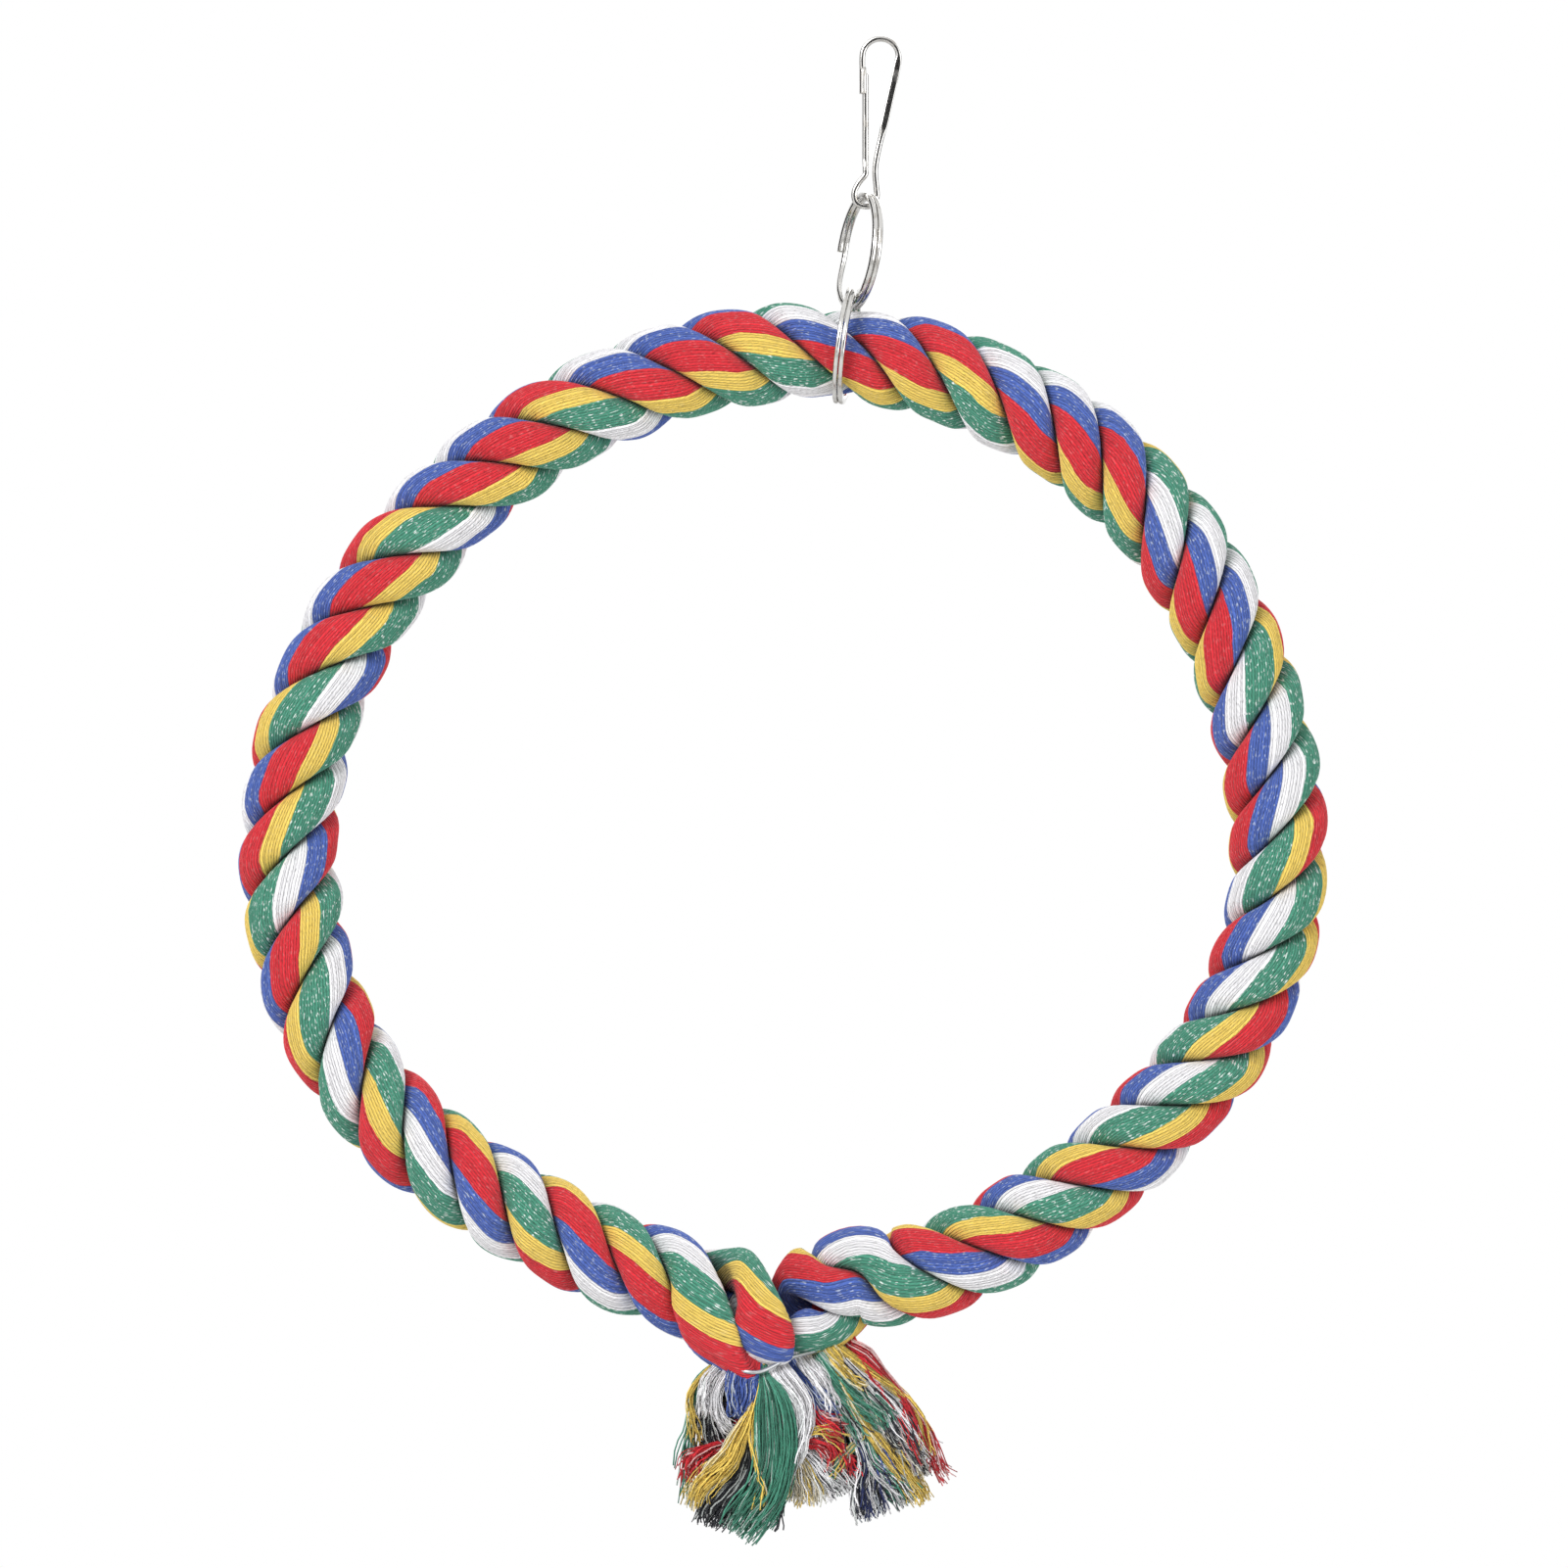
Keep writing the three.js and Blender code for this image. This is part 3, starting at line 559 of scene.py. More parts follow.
def cotton_finish():
    """Spun cotton: each yarn takes the dye of its band and a shade of its own, with streaks of fibre along
    it, pale specks as painted highlights, dark specks, the painted light and shade of its twist and painted
    shade in the hollows beside it. The creases between strands are darker still with painted shade.
    Streaks, hollows and twist also shape the relief."""
    material, tree, shader = start_material("spun_cotton")
    place = add_node(tree, "ShaderNodeTexCoord").outputs["Object"]
    yarn_map = add_node(tree, "ShaderNodeUVMap", uv_map="yarn_map").outputs["UV"]
    parts = add_node(tree, "ShaderNodeSeparateXYZ", {"Vector": yarn_map}).outputs
    yarn = work_out(tree, "MULTIPLY", parts["X"], float(YARNS))
    wander = spread_over(tree, noise_over(tree, place, BAND_WANDER_GRAIN), -BAND_WANDER, BAND_WANDER)
    number = work_out(tree, "FLOOR", work_out(tree, "ADD", yarn, wander))
    band = band_ramp(tree, number)
    own_noise = add_node(tree, "ShaderNodeTexWhiteNoise", {"W": number}, noise_dimensions="1D")
    own_shade = own_noise.outputs["Value"]
    streaks = stretched_noise(tree, yarn_map, STREAK_STRETCH, STREAK_DETAIL)
    specks = stretched_noise(tree, yarn_map, SPECK_STRETCH, SPECK_DETAIL)
    # Painted highlights: pale flecks along the yarns, as many as the band's alpha gives.
    pale = work_out(tree, "MULTIPLY", spread_over(tree, specks, 0.0, 1.0, *HIGHLIGHT_SPECKS), band["Alpha"])
    crease = add_node(tree, "ShaderNodeAttribute", attribute_name="crease").outputs["Fac"]
    across_yarn = work_out(tree, "FRACT", yarn)
    off_middle = work_out(tree, "ABSOLUTE", work_out(tree, "SUBTRACT", across_yarn, 0.5))
    hollow = work_out(tree, "POWER", work_out(tree, "MULTIPLY", off_middle, 2.0), HOLLOW_POWER)
    ply = yarn_ply(tree, parts["Y"], YARN_TWIST, work_out(tree, "ADD", own_shade, across_yarn))
    colour = shade_by(tree, band["Color"], spread_over(tree, own_shade, *YARN_SHADES))
    colour = shade_by(tree, colour, spread_over(tree, streaks, *STREAK_SHADES, *STREAK_RANGE))
    colour = mix_colours(tree, pale, colour, PAINTED_HIGHLIGHT)
    colour = shade_by(tree, colour, spread_over(tree, specks, DARK_SPECK_SHADE, 1.0, *DARK_SPECKS))
    # Painted shade in the grooves between strands, from the crease attribute.
    colour = shade_by(tree, colour, spread_over(tree, crease, 1.0, CREASE_SHADE))
    # Painted shade: darker in the hollows at each yarn's edges.
    colour = shade_by(tree, colour, spread_over(tree, hollow, *HOLLOW_PAINTED_SHADE))
    # Painted light and shade of the twist along each yarn.
    colour = shade_by(tree, colour, spread_over(tree, ply, *TWIST_PAINTED_LIGHT, -1.0, 1.0))
    tree.links.new(colour, shader.inputs["Base Color"])
    tree.links.new(spread_over(tree, streaks, *COTTON_ROUGHNESS), shader.inputs["Roughness"])
    shader.inputs["Sheen Weight"].default_value = COTTON_SHEEN
    shader.inputs["Sheen Roughness"].default_value = COTTON_SHEEN_ROUGHNESS
    height = work_out(tree, "SUBTRACT", work_out(tree, "MULTIPLY", streaks, STREAK_HEIGHT), hollow)
    height = work_out(tree, "ADD", height, work_out(tree, "MULTIPLY", ply, TWIST_HEIGHT))
    emboss(tree, shader, height, COTTON_RELIEF, COTTON_RELIEF_STRENGTH)
    return material


cotton_material = cotton_finish()
columns_map = np.linspace(0, 1, YARNS * COLUMNS_PER_YARN + 1)
rows_map = (rope_lengths * MILLIMETRE)[None]
for number, name in enumerate(BAND_AT_FRONT):
    strand_points, strand_path, crease = strand_grid(number, name)
    strand = skin_tubes(f"spun_{name}", strand_points[None], columns_map, rows_map, cotton_material)
    # The crease attribute carries the painted shade of the grooves between strands.
    creases = strand.data.attributes.new("crease", "FLOAT", "POINT")
    creases.data.foreach_set("value", crease.astype(np.float32).ravel())
    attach(strand, "rope_loop")
    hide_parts(name)

# Frayed ends: below the tie each rope end opens into loose yarns, combed into locks by the dye they
# share. The locks that show in front are placed one by one, and the others fill the end behind them.
YARN_THIN = 0.12
YARN_THICK = 0.21
YARN_MULTIPLE = 2.1
YARN_ROWS = 18
YARN_SIDES = 3
YARN_JITTER = 1.5
YARN_WANDER = 0.45
YARN_WAVES = (0.8, 2.2)
YARN_FRIZZ = 0.34
FRIZZ_WAVES = (3.0, 5.0)
YARN_CURL = 1.15
LOCK_DEPTH = 1.3
LOCK_DEPTH_LEAST = 0.1
CURVE_STEPS = 10
ROOT_RISE = 3.0
ROOT_SHARE = 0.45
ROOT_WIDTH = 1.5
FRAY_SEED = 21
SHADE_LOW = 0.45
SHADE_HIGH = 1.28
# Paler yarns in the locks: a share of them, picked at random, is mixed towards the highlight colour as
# painted highlight.
HIGHLIGHT_YARN_SHARE = 0.2
HIGHLIGHT_YARN_MIX = 0.5
LOOSE_TWIST = 700.0
# The loose yarns' twist also lightens and darkens their colour as painted light and shade.
LOOSE_TWIST_PAINTED_LIGHT = (0.9, 1.05)
FLUFF_GRAIN = 1500.0
FLUFF_RANGE = (0.3, 0.7)
FLUFF_SHADES = (0.8, 1.2)
LOOSE_ROUGHNESS = (0.8, 0.95)
LOOSE_RELIEF = 0.00006
LOOSE_RELIEF_STRENGTH = 0.6
# The run of the tie wire in front, and how it pinches the yarns that pass behind it.
WIRE_BACK = -13.2
WIRE_LEAN = 0.75
WIRE_FALL = 0.19
WIRE_SAG = 1.75
SAG_MIDDLE = -8.5
SAG_WIDTH = 4.5
WIRE_CLEARANCE = 1.2
PINCH_DEPTH = 7.0
PINCH_LENGTH = 3.2
PINCH_SHARE = 0.7
PINCH_REACH = 4.0
# Each lock: its dyes, its yarns before they are multiplied, how uneven their ends are, and its line as
# steps across, down and back from the middle of the tie, each with half the lock's width there, in
# millimetres.
LOCKS = {
    "left_tassel_b": [
        ("green", 14, 0.2, [
            (-18, 2, -6, 1), (-23.4, 6.7, -6, 0.9), (-24.6, 14, -5, 0.8), (-25.8, 22, -4, 0.8),
            (-27.2, 36, -3, 1.2),
        ]),
        ("yellow", 6, 0.1, [
            (-19, 2, -7, 0.5), (-25, 9, -8, 0.5), (-24.6, 15, -8, 0.5), (-23.4, 21.5, -7, 0.5),
        ]),
        ("white", 16, 0.1, [
            (-17, 1.5, -8, 1.2), (-20.6, 5.5, -9.5, 1.4), (-21.6, 10.5, -8.5, 1.0),
            (-20.6, 15, -7, 0.4),
        ]),
        ("white", 18, 0.1, [
            (-15, 2.5, -9.5, 1.2), (-18.6, 8.5, -11.5, 1.3), (-18.2, 14, -11, 1.3),
            (-16, 17.4, -10.5, 1.1), (-14, 19.5, -9, 0.7),
        ]),
        ("charcoal", 40, 0.2, [
            (-15, 2, -5, 2.5), (-19.6, 12, -5.5, 3.4), (-19.6, 18, -5.5, 3.4), (-18, 26, -5, 3),
        ]),
        ("red", 34, 0.35, [
            (-11, 4, -4, 1), (-15, 20, -6, 1), (-20.7, 22.8, -9, 1.4), (-23.6, 25, -9.5, 2.6),
            (-24.8, 28.1, -9, 2.1), (-25.1, 32.6, -8.5, 1.2),
        ]),
    ],
    "left_tassel_a": [
        ("blue", 46, 0.1, [
            (-11.8, 2.8, -10.5, 3.2), (-12.7, 5, -12.8, 3.6), (-12.9, 8.2, -13, 3.4),
            (-13.2, 12.3, -12, 1.8), (-13.2, 15, -10, 0.5),
        ]),
        ("yellow", 40, 0.15, [
            (-7.5, 2, -11, 0.4), (-9.8, 10.3, -12.5, 0.5), (-11.6, 14.9, -13.5, 1.4),
            (-13.8, 19.3, -14, 2), (-16, 24, -14, 2.5), (-19.8, 27.6, -13, 2.5),
            (-23.3, 31.5, -12, 1.7), (-24.6, 37.2, -11, 1.5),
        ]),
        ("yellow", 6, 0.1, [
            (-8, 4, -12, 0.4), (-10.7, 17.4, -13.5, 0.5), (-9.7, 23.4, -14, 0.5),
            (-8.2, 28.7, -14, 0.6), (-7.7, 31.2, -14, 0.5), (-8.8, 38, -13, 0.7),
        ]),
        ("charcoal", 80, 0.2, [
            (-9, 3, -9, 1.5), (-11, 22, -11, 1.4), (-13, 29.3, -11, 3.2), (-16.5, 33.4, -11, 4.4),
            (-19, 37.5, -10, 4.0), (-20.3, 41.2, -10, 3.2),
        ]),
        ("green", 92, 0.12, [
            (-7.4, 2.6, -11.5, 1.1), (-7.2, 4.8, -12.8, 1.3), (-6, 8.2, -13.5, 3.3),
            (-4.9, 14.5, -14, 4.8), (-4.6, 20.8, -14, 5), (-5.2, 26.5, -13.5, 4.6),
            (-7, 32.5, -13, 4.3), (-11, 37.8, -12, 4.2), (-14.4, 43, -11, 3.2),
        ]),
        ("green charcoal white", 16, 0.2, [
            (-1, 12, -10, 0.6), (-1.5, 26, -11, 0.8), (-3.4, 32.8, -11, 0.9), (-5.3, 38.1, -11, 0.9),
            (-6.8, 41.6, -11, 0.8),
        ]),
        ("white", 44, 0.2, [
            (-5.2, 1.2, -11, 2.2), (-4.1, 3.6, -12.5, 2.9), (-1, 7.3, -12.5, 3), (1.8, 12.3, -12, 2.3),
            (1.9, 17.7, -11.5, 1.2), (0.3, 22.4, -11, 0.7), (-1.7, 28, -11, 0.4),
        ]),
    ],
    "left_tassel_c": [
        ("red", 30, 0.25, [(-9, 1, 1, 3), (-14, 12, 2, 3.5), (-17, 24, 2, 4), (-20, 36, 1, 3.5)]),
        ("white", 34, 0.25, [
            (-6, 1, 3, 3), (-8.5, 11, 4.5, 3.5), (-10, 23, 4.5, 4), (-13, 37, 3.5, 4),
        ]),
        ("green", 40, 0.2, [(-4, 1, 2, 3), (-4, 12, 4, 3.2), (-5, 24, 4.5, 4), (-7, 39, 3.5, 4)]),
        ("blue", 30, 0.25, [(-10.5, 1, 2, 2), (-11, 10, 4, 3), (-14, 20, 4.5, 3.5), (-17, 33, 4, 3)]),
        ("yellow charcoal", 40, 0.25, [
            (-12, 1, -2, 3), (-17, 14, -1, 4), (-20, 26, -1, 4), (-22, 36, -2, 4),
        ]),
    ],
    "right_tassel_b": [
        ("white", 26, 0.1, [
            (0.6, -0.8, -7, 1.2), (2.1, 0.9, -8.5, 1.8), (5.3, 4.7, -9, 2.1), (8.1, 9.1, -8, 1.5),
            (10, 13, -6, 0.4),
        ]),
        ("blue", 22, 0.1, [
            (-1.2, 0.6, -7, 0.8), (2.2, 5.2, -7, 1.0), (4.6, 8.6, -7.5, 1.7), (6.8, 11.7, -7, 1.8),
            (10, 14.4, -6, 0.8),
        ]),
        ("red", 30, 0.15, [
            (0, 2, -4, 1), (3.4, 11, -6, 1.4), (5, 14.6, -7, 1.8), (8, 16.8, -7, 1.9),
            (12.2, 19, -6, 1.5),
        ]),
        ("yellow", 6, 0.1, [
            (0, 14, -3, 0.5), (1.3, 20.3, -7.5, 0.5), (3.1, 18.3, -8.5, 0.5), (5.9, 18, -8.5, 0.5),
            (8.7, 18.8, -8, 0.5), (12.5, 21, -7, 0.6),
        ]),
        ("red", 26, 0.3, [
            (1, 16, -5, 0.8), (2.4, 20.6, -8, 0.8), (5.2, 21, -8.5, 1.1), (8.1, 23.2, -8.5, 1.6),
            (8.7, 26.4, -8, 1.4), (8.1, 28.5, -8, 0.9),
        ]),
        ("cream white yellow cream", 54, 0.12, [
            (0, 6, -4, 0.8), (0.5, 22.2, -7, 0.6), (1, 26.4, -8, 1.9), (2.3, 31.1, -8, 3.1),
            (2.9, 36.4, -7.5, 3.6),
        ]),
        ("white white charcoal", 52, 0.2, [
            (1, 8, -3, 0.8), (2.1, 22, -7, 0.7), (5, 25.1, -7.5, 2.1), (7.5, 28.3, -7.5, 2.7),
            (10, 31.1, -7, 2.6), (11.6, 34, -7, 2.4),
        ]),
        ("red", 14, 0.3, [
            (6, 10, -2, 1), (11, 22, -4, 1.2), (13.5, 26.4, -6, 1.2), (15.6, 29.6, -6, 1.3),
        ]),
        ("yellow green", 18, 0.25, [
            (12, 10, -4, 1), (16.3, 19.6, -8.5, 1), (13.5, 22.3, -10, 1.1), (11.3, 25.1, -10, 1),
            (9.4, 28.3, -9.5, 0.9), (8, 29.2, -9, 0.8),
        ]),
    ],
    "right_tassel_c": [
        ("green", 58, 0.15, [
            (5.2, -0.6, -5, 1.2), (6.5, 1.2, -6, 1.5), (10, 6.2, -7, 2.4), (14.4, 10.6, -7.5, 3),
            (18.8, 14.4, -7, 2.8), (22.5, 19, -5, 1.6),
        ]),
        ("green green charcoal", 30, 0.15, [
            (7, 3, -5, 1), (9.7, 10.6, -6.5, 1.1), (12.5, 15, -7, 1.7), (15, 18.8, -6.5, 1.7),
            (17, 21.5, -5, 1),
        ]),
        ("yellow", 44, 0.12, [
            (9, 2, -4, 0.5), (14.1, 12.5, -8.5, 0.5), (17.6, 18.2, -9.5, 1.6), (21, 22.6, -10, 2.2),
            (25.1, 27.7, -9.5, 2.1), (29.2, 33, -8.5, 1.7), (31, 37, -8, 1.2),
        ]),
        ("yellow", 24, 0.1, [
            (7.5, -2, -4, 2), (9.5, 0.6, -6, 2), (11.6, 3.1, -7, 1.6), (14.4, 6.2, -7.5, 1),
            (17, 8.6, -7, 0.4),
        ]),
        ("yellow", 18, 0.1, [
            (9.5, -2.5, -2, 1), (12.8, 0.2, -4, 1), (16.9, 3.4, -5, 1.2), (23.2, 8.1, -5, 1),
            (27.7, 12.5, -5, 0.9), (30.5, 17.6, -4.5, 1.1), (31.6, 22.6, -4, 1.1),
            (32.2, 26.5, -4, 0.8),
        ]),
        ("white white charcoal", 60, 0.18, [
            (10, -1, -2, 1.2), (14.4, 4, -5, 1.2), (18.2, 8.1, -6, 2), (22.6, 12.8, -6, 2.5),
            (25.8, 17.6, -6, 2.7), (28.6, 22, -5.5, 2.4), (31.6, 27, -5, 1.8),
        ]),
        ("red", 22, 0.12, [
            (12.5, -2, 0, 1.8), (16.4, 0, -2.5, 2.0), (18.8, 2.4, -4, 1.6), (21.7, 5.6, -4, 1),
            (25.8, 10.6, -4.5, 0.7), (28.9, 15, -4.5, 0.5), (32.1, 20.1, -4.5, 0.5),
            (33.3, 25.1, -4, 0.5), (34.6, 29.2, -4, 0.6), (36.8, 32.6, -4, 0.9),
        ]),
        ("red", 12, 0.15, [
            (18, 5, -3, 0.6), (22.9, 12.8, -6.5, 0.6), (25.4, 15, -7, 0.8), (28.3, 18.8, -7, 0.8),
            (29.2, 22.6, -6.5, 0.8), (30.8, 24.6, -6, 0.5),
        ]),
        ("navy charcoal navy white", 70, 0.15, [
            (8, 4, 0, 1.5), (14, 18, -2, 1.6), (17, 25, -5, 2), (17.4, 28.5, -6, 3),
            (17, 32.1, -6.5, 3.5), (17.6, 35.8, -6.5, 3.5), (18.6, 40.2, -6, 2.8),
        ]),
        ("green white charcoal", 50, 0.15, [
            (10, 4, 0, 1.5), (16, 20, -3, 1.4), (18.5, 26.4, -6, 1.6), (21.7, 29.9, -7, 2.3),
            (25.1, 33, -7, 2.6), (27.9, 36.8, -7, 2.6),
        ]),
        ("white charcoal cream", 36, 0.2, [
            (16, 8, -2, 1), (22.9, 21.7, -5, 0.9), (26.4, 23.9, -6, 1.2), (29.5, 26.7, -6, 1.6),
            (32.4, 31, -6, 1.8),
        ]),
    ],
    "right_tassel_a": [
        ("yellow", 36, 0.2, [(9, -1, 7, 3), (15, 9, 9, 3.5), (21, 19, 8.5, 4.5), (27, 31, 6, 4)]),
        ("red", 30, 0.25, [(11, -1, 6, 3), (19, 8, 7, 3), (25, 16, 6.5, 3.5), (31, 28, 5, 3.5)]),
        ("green", 36, 0.25, [(6, -1, 9, 3), (9, 10, 10.5, 3.5), (13, 21, 10, 4.5), (17, 34, 8, 4.5)]),
        ("white", 34, 0.25, [(4, -1, 8, 3), (5, 10, 9.5, 3.5), (7.5, 22, 9, 4), (10, 35, 7, 4)]),
        ("blue charcoal", 50, 0.25, [(9, -1, 5, 5), (13, 10, 4, 7), (18, 22, 3, 8), (22, 34, 1, 8)]),
    ],
}


def sag_below(across):
    """How far the tie wire sags below its own slope: a bell curve over the left end."""
    return WIRE_SAG * np.exp(-((across - SAG_MIDDLE) / SAG_WIDTH) ** 2)


def from_tie(point):
    """A point of the loop as its steps across, down and back from the middle of the tie."""
    step = point - tie_centre
    return np.array([step @ picture_right, -step @ picture_up, step @ tie_back])


lock_necks = {"left": from_tie(left_neck), "right": from_tie(right_neck)}


def lock_lines(points, count, uneven, neck, random):
    """Centre lines of the yarns in one lock: each leaves the neck above the tie and follows the lock's
    own line at a set share of its width, to the side and in depth. It sways by a slow and a quick sine,
    curls as the cube of its length and stops a little short. Close to the wire it is pressed flat and
    kept behind it."""
    first = np.array(points[0], dtype=float)
    root = neck + (first[:3] - neck) * ROOT_SHARE
    root[1] = neck[1] - ROOT_RISE
    spine = smooth_line(np.vstack([[*root, ROOT_WIDTH], points]), CURVE_STEPS)
    slope = np.gradient(spine[:, :3], axis=0)
    aside = unit(np.stack([-slope[:, 1], slope[:, 0]], axis=1))
    place = np.linspace(-1, 1, count) + random.uniform(-YARN_JITTER, YARN_JITTER, count) / count
    room = np.sqrt(np.maximum(LOCK_DEPTH_LEAST, 1 - place ** 2))
    depth = random.uniform(-1, 1, count) * room * LOCK_DEPTH
    reach = 1 - uneven * random.random(count)
    share = np.linspace(0, 1, YARN_ROWS)
    row = share * reach[:, None] * (len(spine) - 1)
    known = np.arange(len(spine))
    across, down, back, width = [np.interp(row, known, column) for column in spine.T]
    aside_across, aside_down = [np.interp(row, known, column) for column in aside.T]
    share = share[:, None]
    slow = random.uniform(*YARN_WAVES, (count, 1, 2))
    phase = random.uniform(0, 2 * np.pi, (count, 1, 2))
    quick = random.uniform(*FRIZZ_WAVES, (count, 1, 2))
    stray = YARN_WANDER * share * np.sin(2 * np.pi * slow * share + phase)
    stray += YARN_FRIZZ * share ** 2 * np.sin(2 * np.pi * quick * share + phase)
    stray += random.normal(0, YARN_CURL, (count, 1, 2)) * share ** 3
    sideways = place[:, None] * width + stray[..., 0]
    across = across + aside_across * sideways
    down = down + aside_down * sideways
    wire_back = WIRE_BACK + WIRE_LEAN * np.maximum(across - lock_necks["left"][0], 0)
    below_wire = down + WIRE_FALL * across - sag_below(across)
    held = np.exp(-(below_wire / PINCH_LENGTH) ** 2) * (1 - ease(across, PINCH_REACH, 2 * PINCH_REACH))
    back = np.maximum(back, wire_back + WIRE_CLEARANCE - PINCH_DEPTH * (1 - held))
    back = back + (depth[:, None] + stray[..., 1]) * (1 - PINCH_SHARE * held)
    return across[..., None] * picture_right - down[..., None] * picture_up + back[..., None] * tie_back


def tube_rings(lines, radius, sides):
    """Rings of points about many lines: a regular polygon square to each line, turned so that its
    first corner keeps to the back."""
    slope = unit(np.gradient(lines, axis=1))
    across = unit(np.cross(slope, tie_back))
    behind = np.cross(across, slope)
    turn = np.linspace(0, 2 * np.pi, sides, endpoint=False)
    spread = across[:, :, None] * np.sin(turn)[:, None] + behind[:, :, None] * np.cos(turn)[:, None]
    return lines[:, :, None] + spread * np.reshape(radius, (-1, 1, 1, 1))


def loose_yarn_finish():
    """Loose yarn: its own dye, with any painted highlight, from the yarn_dye_and_highlight attribute, with
    a fine noise and the slanting light and dark of its twist as painted light and shade. The twist shapes
    the relief too."""
    material, tree, shader = start_material("loose_cotton_yarn")
    # The attribute holds each yarn's dye, with painted highlight on the paler yarns.
    own_dye_and_highlight = add_node(tree, "ShaderNodeAttribute", attribute_name="yarn_dye_and_highlight").outputs["Color"]
    yarn_map = add_node(tree, "ShaderNodeUVMap", uv_map="yarn_map").outputs["UV"]
    parts = add_node(tree, "ShaderNodeSeparateXYZ", {"Vector": yarn_map}).outputs
    ply = yarn_ply(tree, parts["Y"], LOOSE_TWIST, parts["X"])
    place = add_node(tree, "ShaderNodeTexCoord").outputs["Object"]
    fluff = noise_over(tree, place, FLUFF_GRAIN)
    # Painted light and shade of the twist along the yarn.
    colour = shade_by(tree, own_dye_and_highlight, spread_over(tree, ply, *LOOSE_TWIST_PAINTED_LIGHT, -1.0, 1.0))
    colour = shade_by(tree, colour, spread_over(tree, fluff, *FLUFF_SHADES, *FLUFF_RANGE))
    tree.links.new(colour, shader.inputs["Base Color"])
    tree.links.new(spread_over(tree, fluff, *LOOSE_ROUGHNESS), shader.inputs["Roughness"])
    shader.inputs["Sheen Weight"].default_value = COTTON_SHEEN
    emboss(tree, shader, ply, LOOSE_RELIEF, LOOSE_RELIEF_STRENGTH)
    return material


loose_yarn_material = loose_yarn_finish()
yarn_around = np.linspace(0, 1, YARN_SIDES + 1)
fray_random = np.random.default_rng(FRAY_SEED)
for node, locks in LOCKS.items():
    neck = lock_necks[node.split("_")[0]]
    yarn_lines = []
    yarn_dyes_and_highlights = []
    for dye_names, listed, uneven, points in locks:
        count = int(listed * YARN_MULTIPLE)
        yarn_lines.append(lock_lines(points, count, uneven, neck, fray_random))
        lock_dyes = np.array([dye(dye_name)[:3] for dye_name in dye_names.split()])
        chosen = lock_dyes[fray_random.integers(0, len(lock_dyes), count)]
        chosen = chosen * fray_random.uniform(SHADE_LOW, SHADE_HIGH, (count, 1))
        # Painted highlight: a random share of the yarns is paled towards the highlight colour.
        pale = HIGHLIGHT_YARN_MIX * (fray_random.random((count, 1)) < HIGHLIGHT_YARN_SHARE)
        yarn_dyes_and_highlights.append(chosen + (np.array(PAINTED_HIGHLIGHT[:3]) - chosen) * pale)
    lines = np.concatenate(yarn_lines)
    thickness = fray_random.uniform(YARN_THIN, YARN_THICK, len(lines))
    rings = loop_centre + (tie_centre + tube_rings(lines, thickness, YARN_SIDES)) * MILLIMETRE
    reach = np.linalg.norm(np.diff(lines, axis=1), axis=2).sum(axis=1) * MILLIMETRE
    yarn_along = np.linspace(0, 1, YARN_ROWS)[None] * reach[:, None] + fray_random.random((len(lines), 1))
    fray = skin_tubes(f"frayed_{node}", rings, yarn_around, yarn_along, loose_yarn_material)
    tint = np.ones((len(lines), YARN_ROWS * YARN_SIDES, 4))
    tint[..., :3] = np.concatenate(yarn_dyes_and_highlights)[:, None]
    tints = fray.data.attributes.new("yarn_dye_and_highlight", "FLOAT_COLOR", "POINT")
    tints.data.foreach_set("color", tint.astype(np.float32).ravel())
    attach(fray, "rope_loop")
    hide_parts(node)

# Tie wire: one turn of soft galvanised wire round both rope ends, its tails twisted at the back.
# It bites into the cotton of the right end, so only its front over the left end shows.
TIE_WIRE_RADIUS = 0.5
TIE_BITE = 5.0
TIE_SQUARE = 0.55
TIE_TAIL_START = 1.0
TIE_TAIL_LENGTH = 7.0
TIE_TAIL_TURNS = 1.25
TIE_TAIL_RADIUS = 0.62
TIE_TAIL_POINTS = 12
TIE_ARC_POINTS = 9
TIE_ROWS = 260
WIRE_SIDES = 12


def signed_power(wave, power):
    """A sine or a cosine raised to a power, with its sign kept. A power below one makes an oval squarer."""
    return np.sign(wave) * np.abs(wave) ** power


def wire_piece(name, rings, material):
    """One wire as a closed tube, with a plain map from nought to one round it and along it."""
    around = np.linspace(0, 1, rings.shape[1] + 1)
    along = np.linspace(0, 1, len(rings))[None]
    return skin_tubes(name, rings[None], around, along, material)


def tie_line():
    """Line of the tie wire: a half turn round the left neck, squared off in front, a tighter half turn
    in the right neck, and two tails that wind round each other straight back."""
    between = unit(right_neck - left_neck)
    behind = np.cross(between, tie_axis)
    left_reach = NECK_DIAMETER / 2 + 2 * TIE_WIRE_RADIUS
    right_reach = left_reach - TIE_BITE
    back = (left_neck + right_neck) / 2 + behind * left_reach
    turn = np.linspace(0, np.pi, TIE_ARC_POINTS)[:, None]
    power = np.where(turn > np.pi / 2, TIE_SQUARE, 1.0)
    bulge = signed_power(np.cos(turn), power)
    left_arc = left_neck + left_reach * (behind * bulge - between * np.sin(turn) ** power)
    right_arc = right_neck + right_reach * (between * np.sin(turn) - behind * np.cos(turn))
    step = np.linspace(0, 1, TIE_TAIL_POINTS)[:, None]
    wind = 2 * np.pi * TIE_TAIL_TURNS * step
    tail = back + behind * (TIE_TAIL_START + TIE_TAIL_LENGTH * step)
    swing = TIE_TAIL_RADIUS * (between * np.cos(wind) + tie_axis * np.sin(wind))
    first_tail = (tail - swing)[::-1]
    last_tail = tail + swing
    return np.vstack([first_tail, left_arc, right_arc, last_tail])


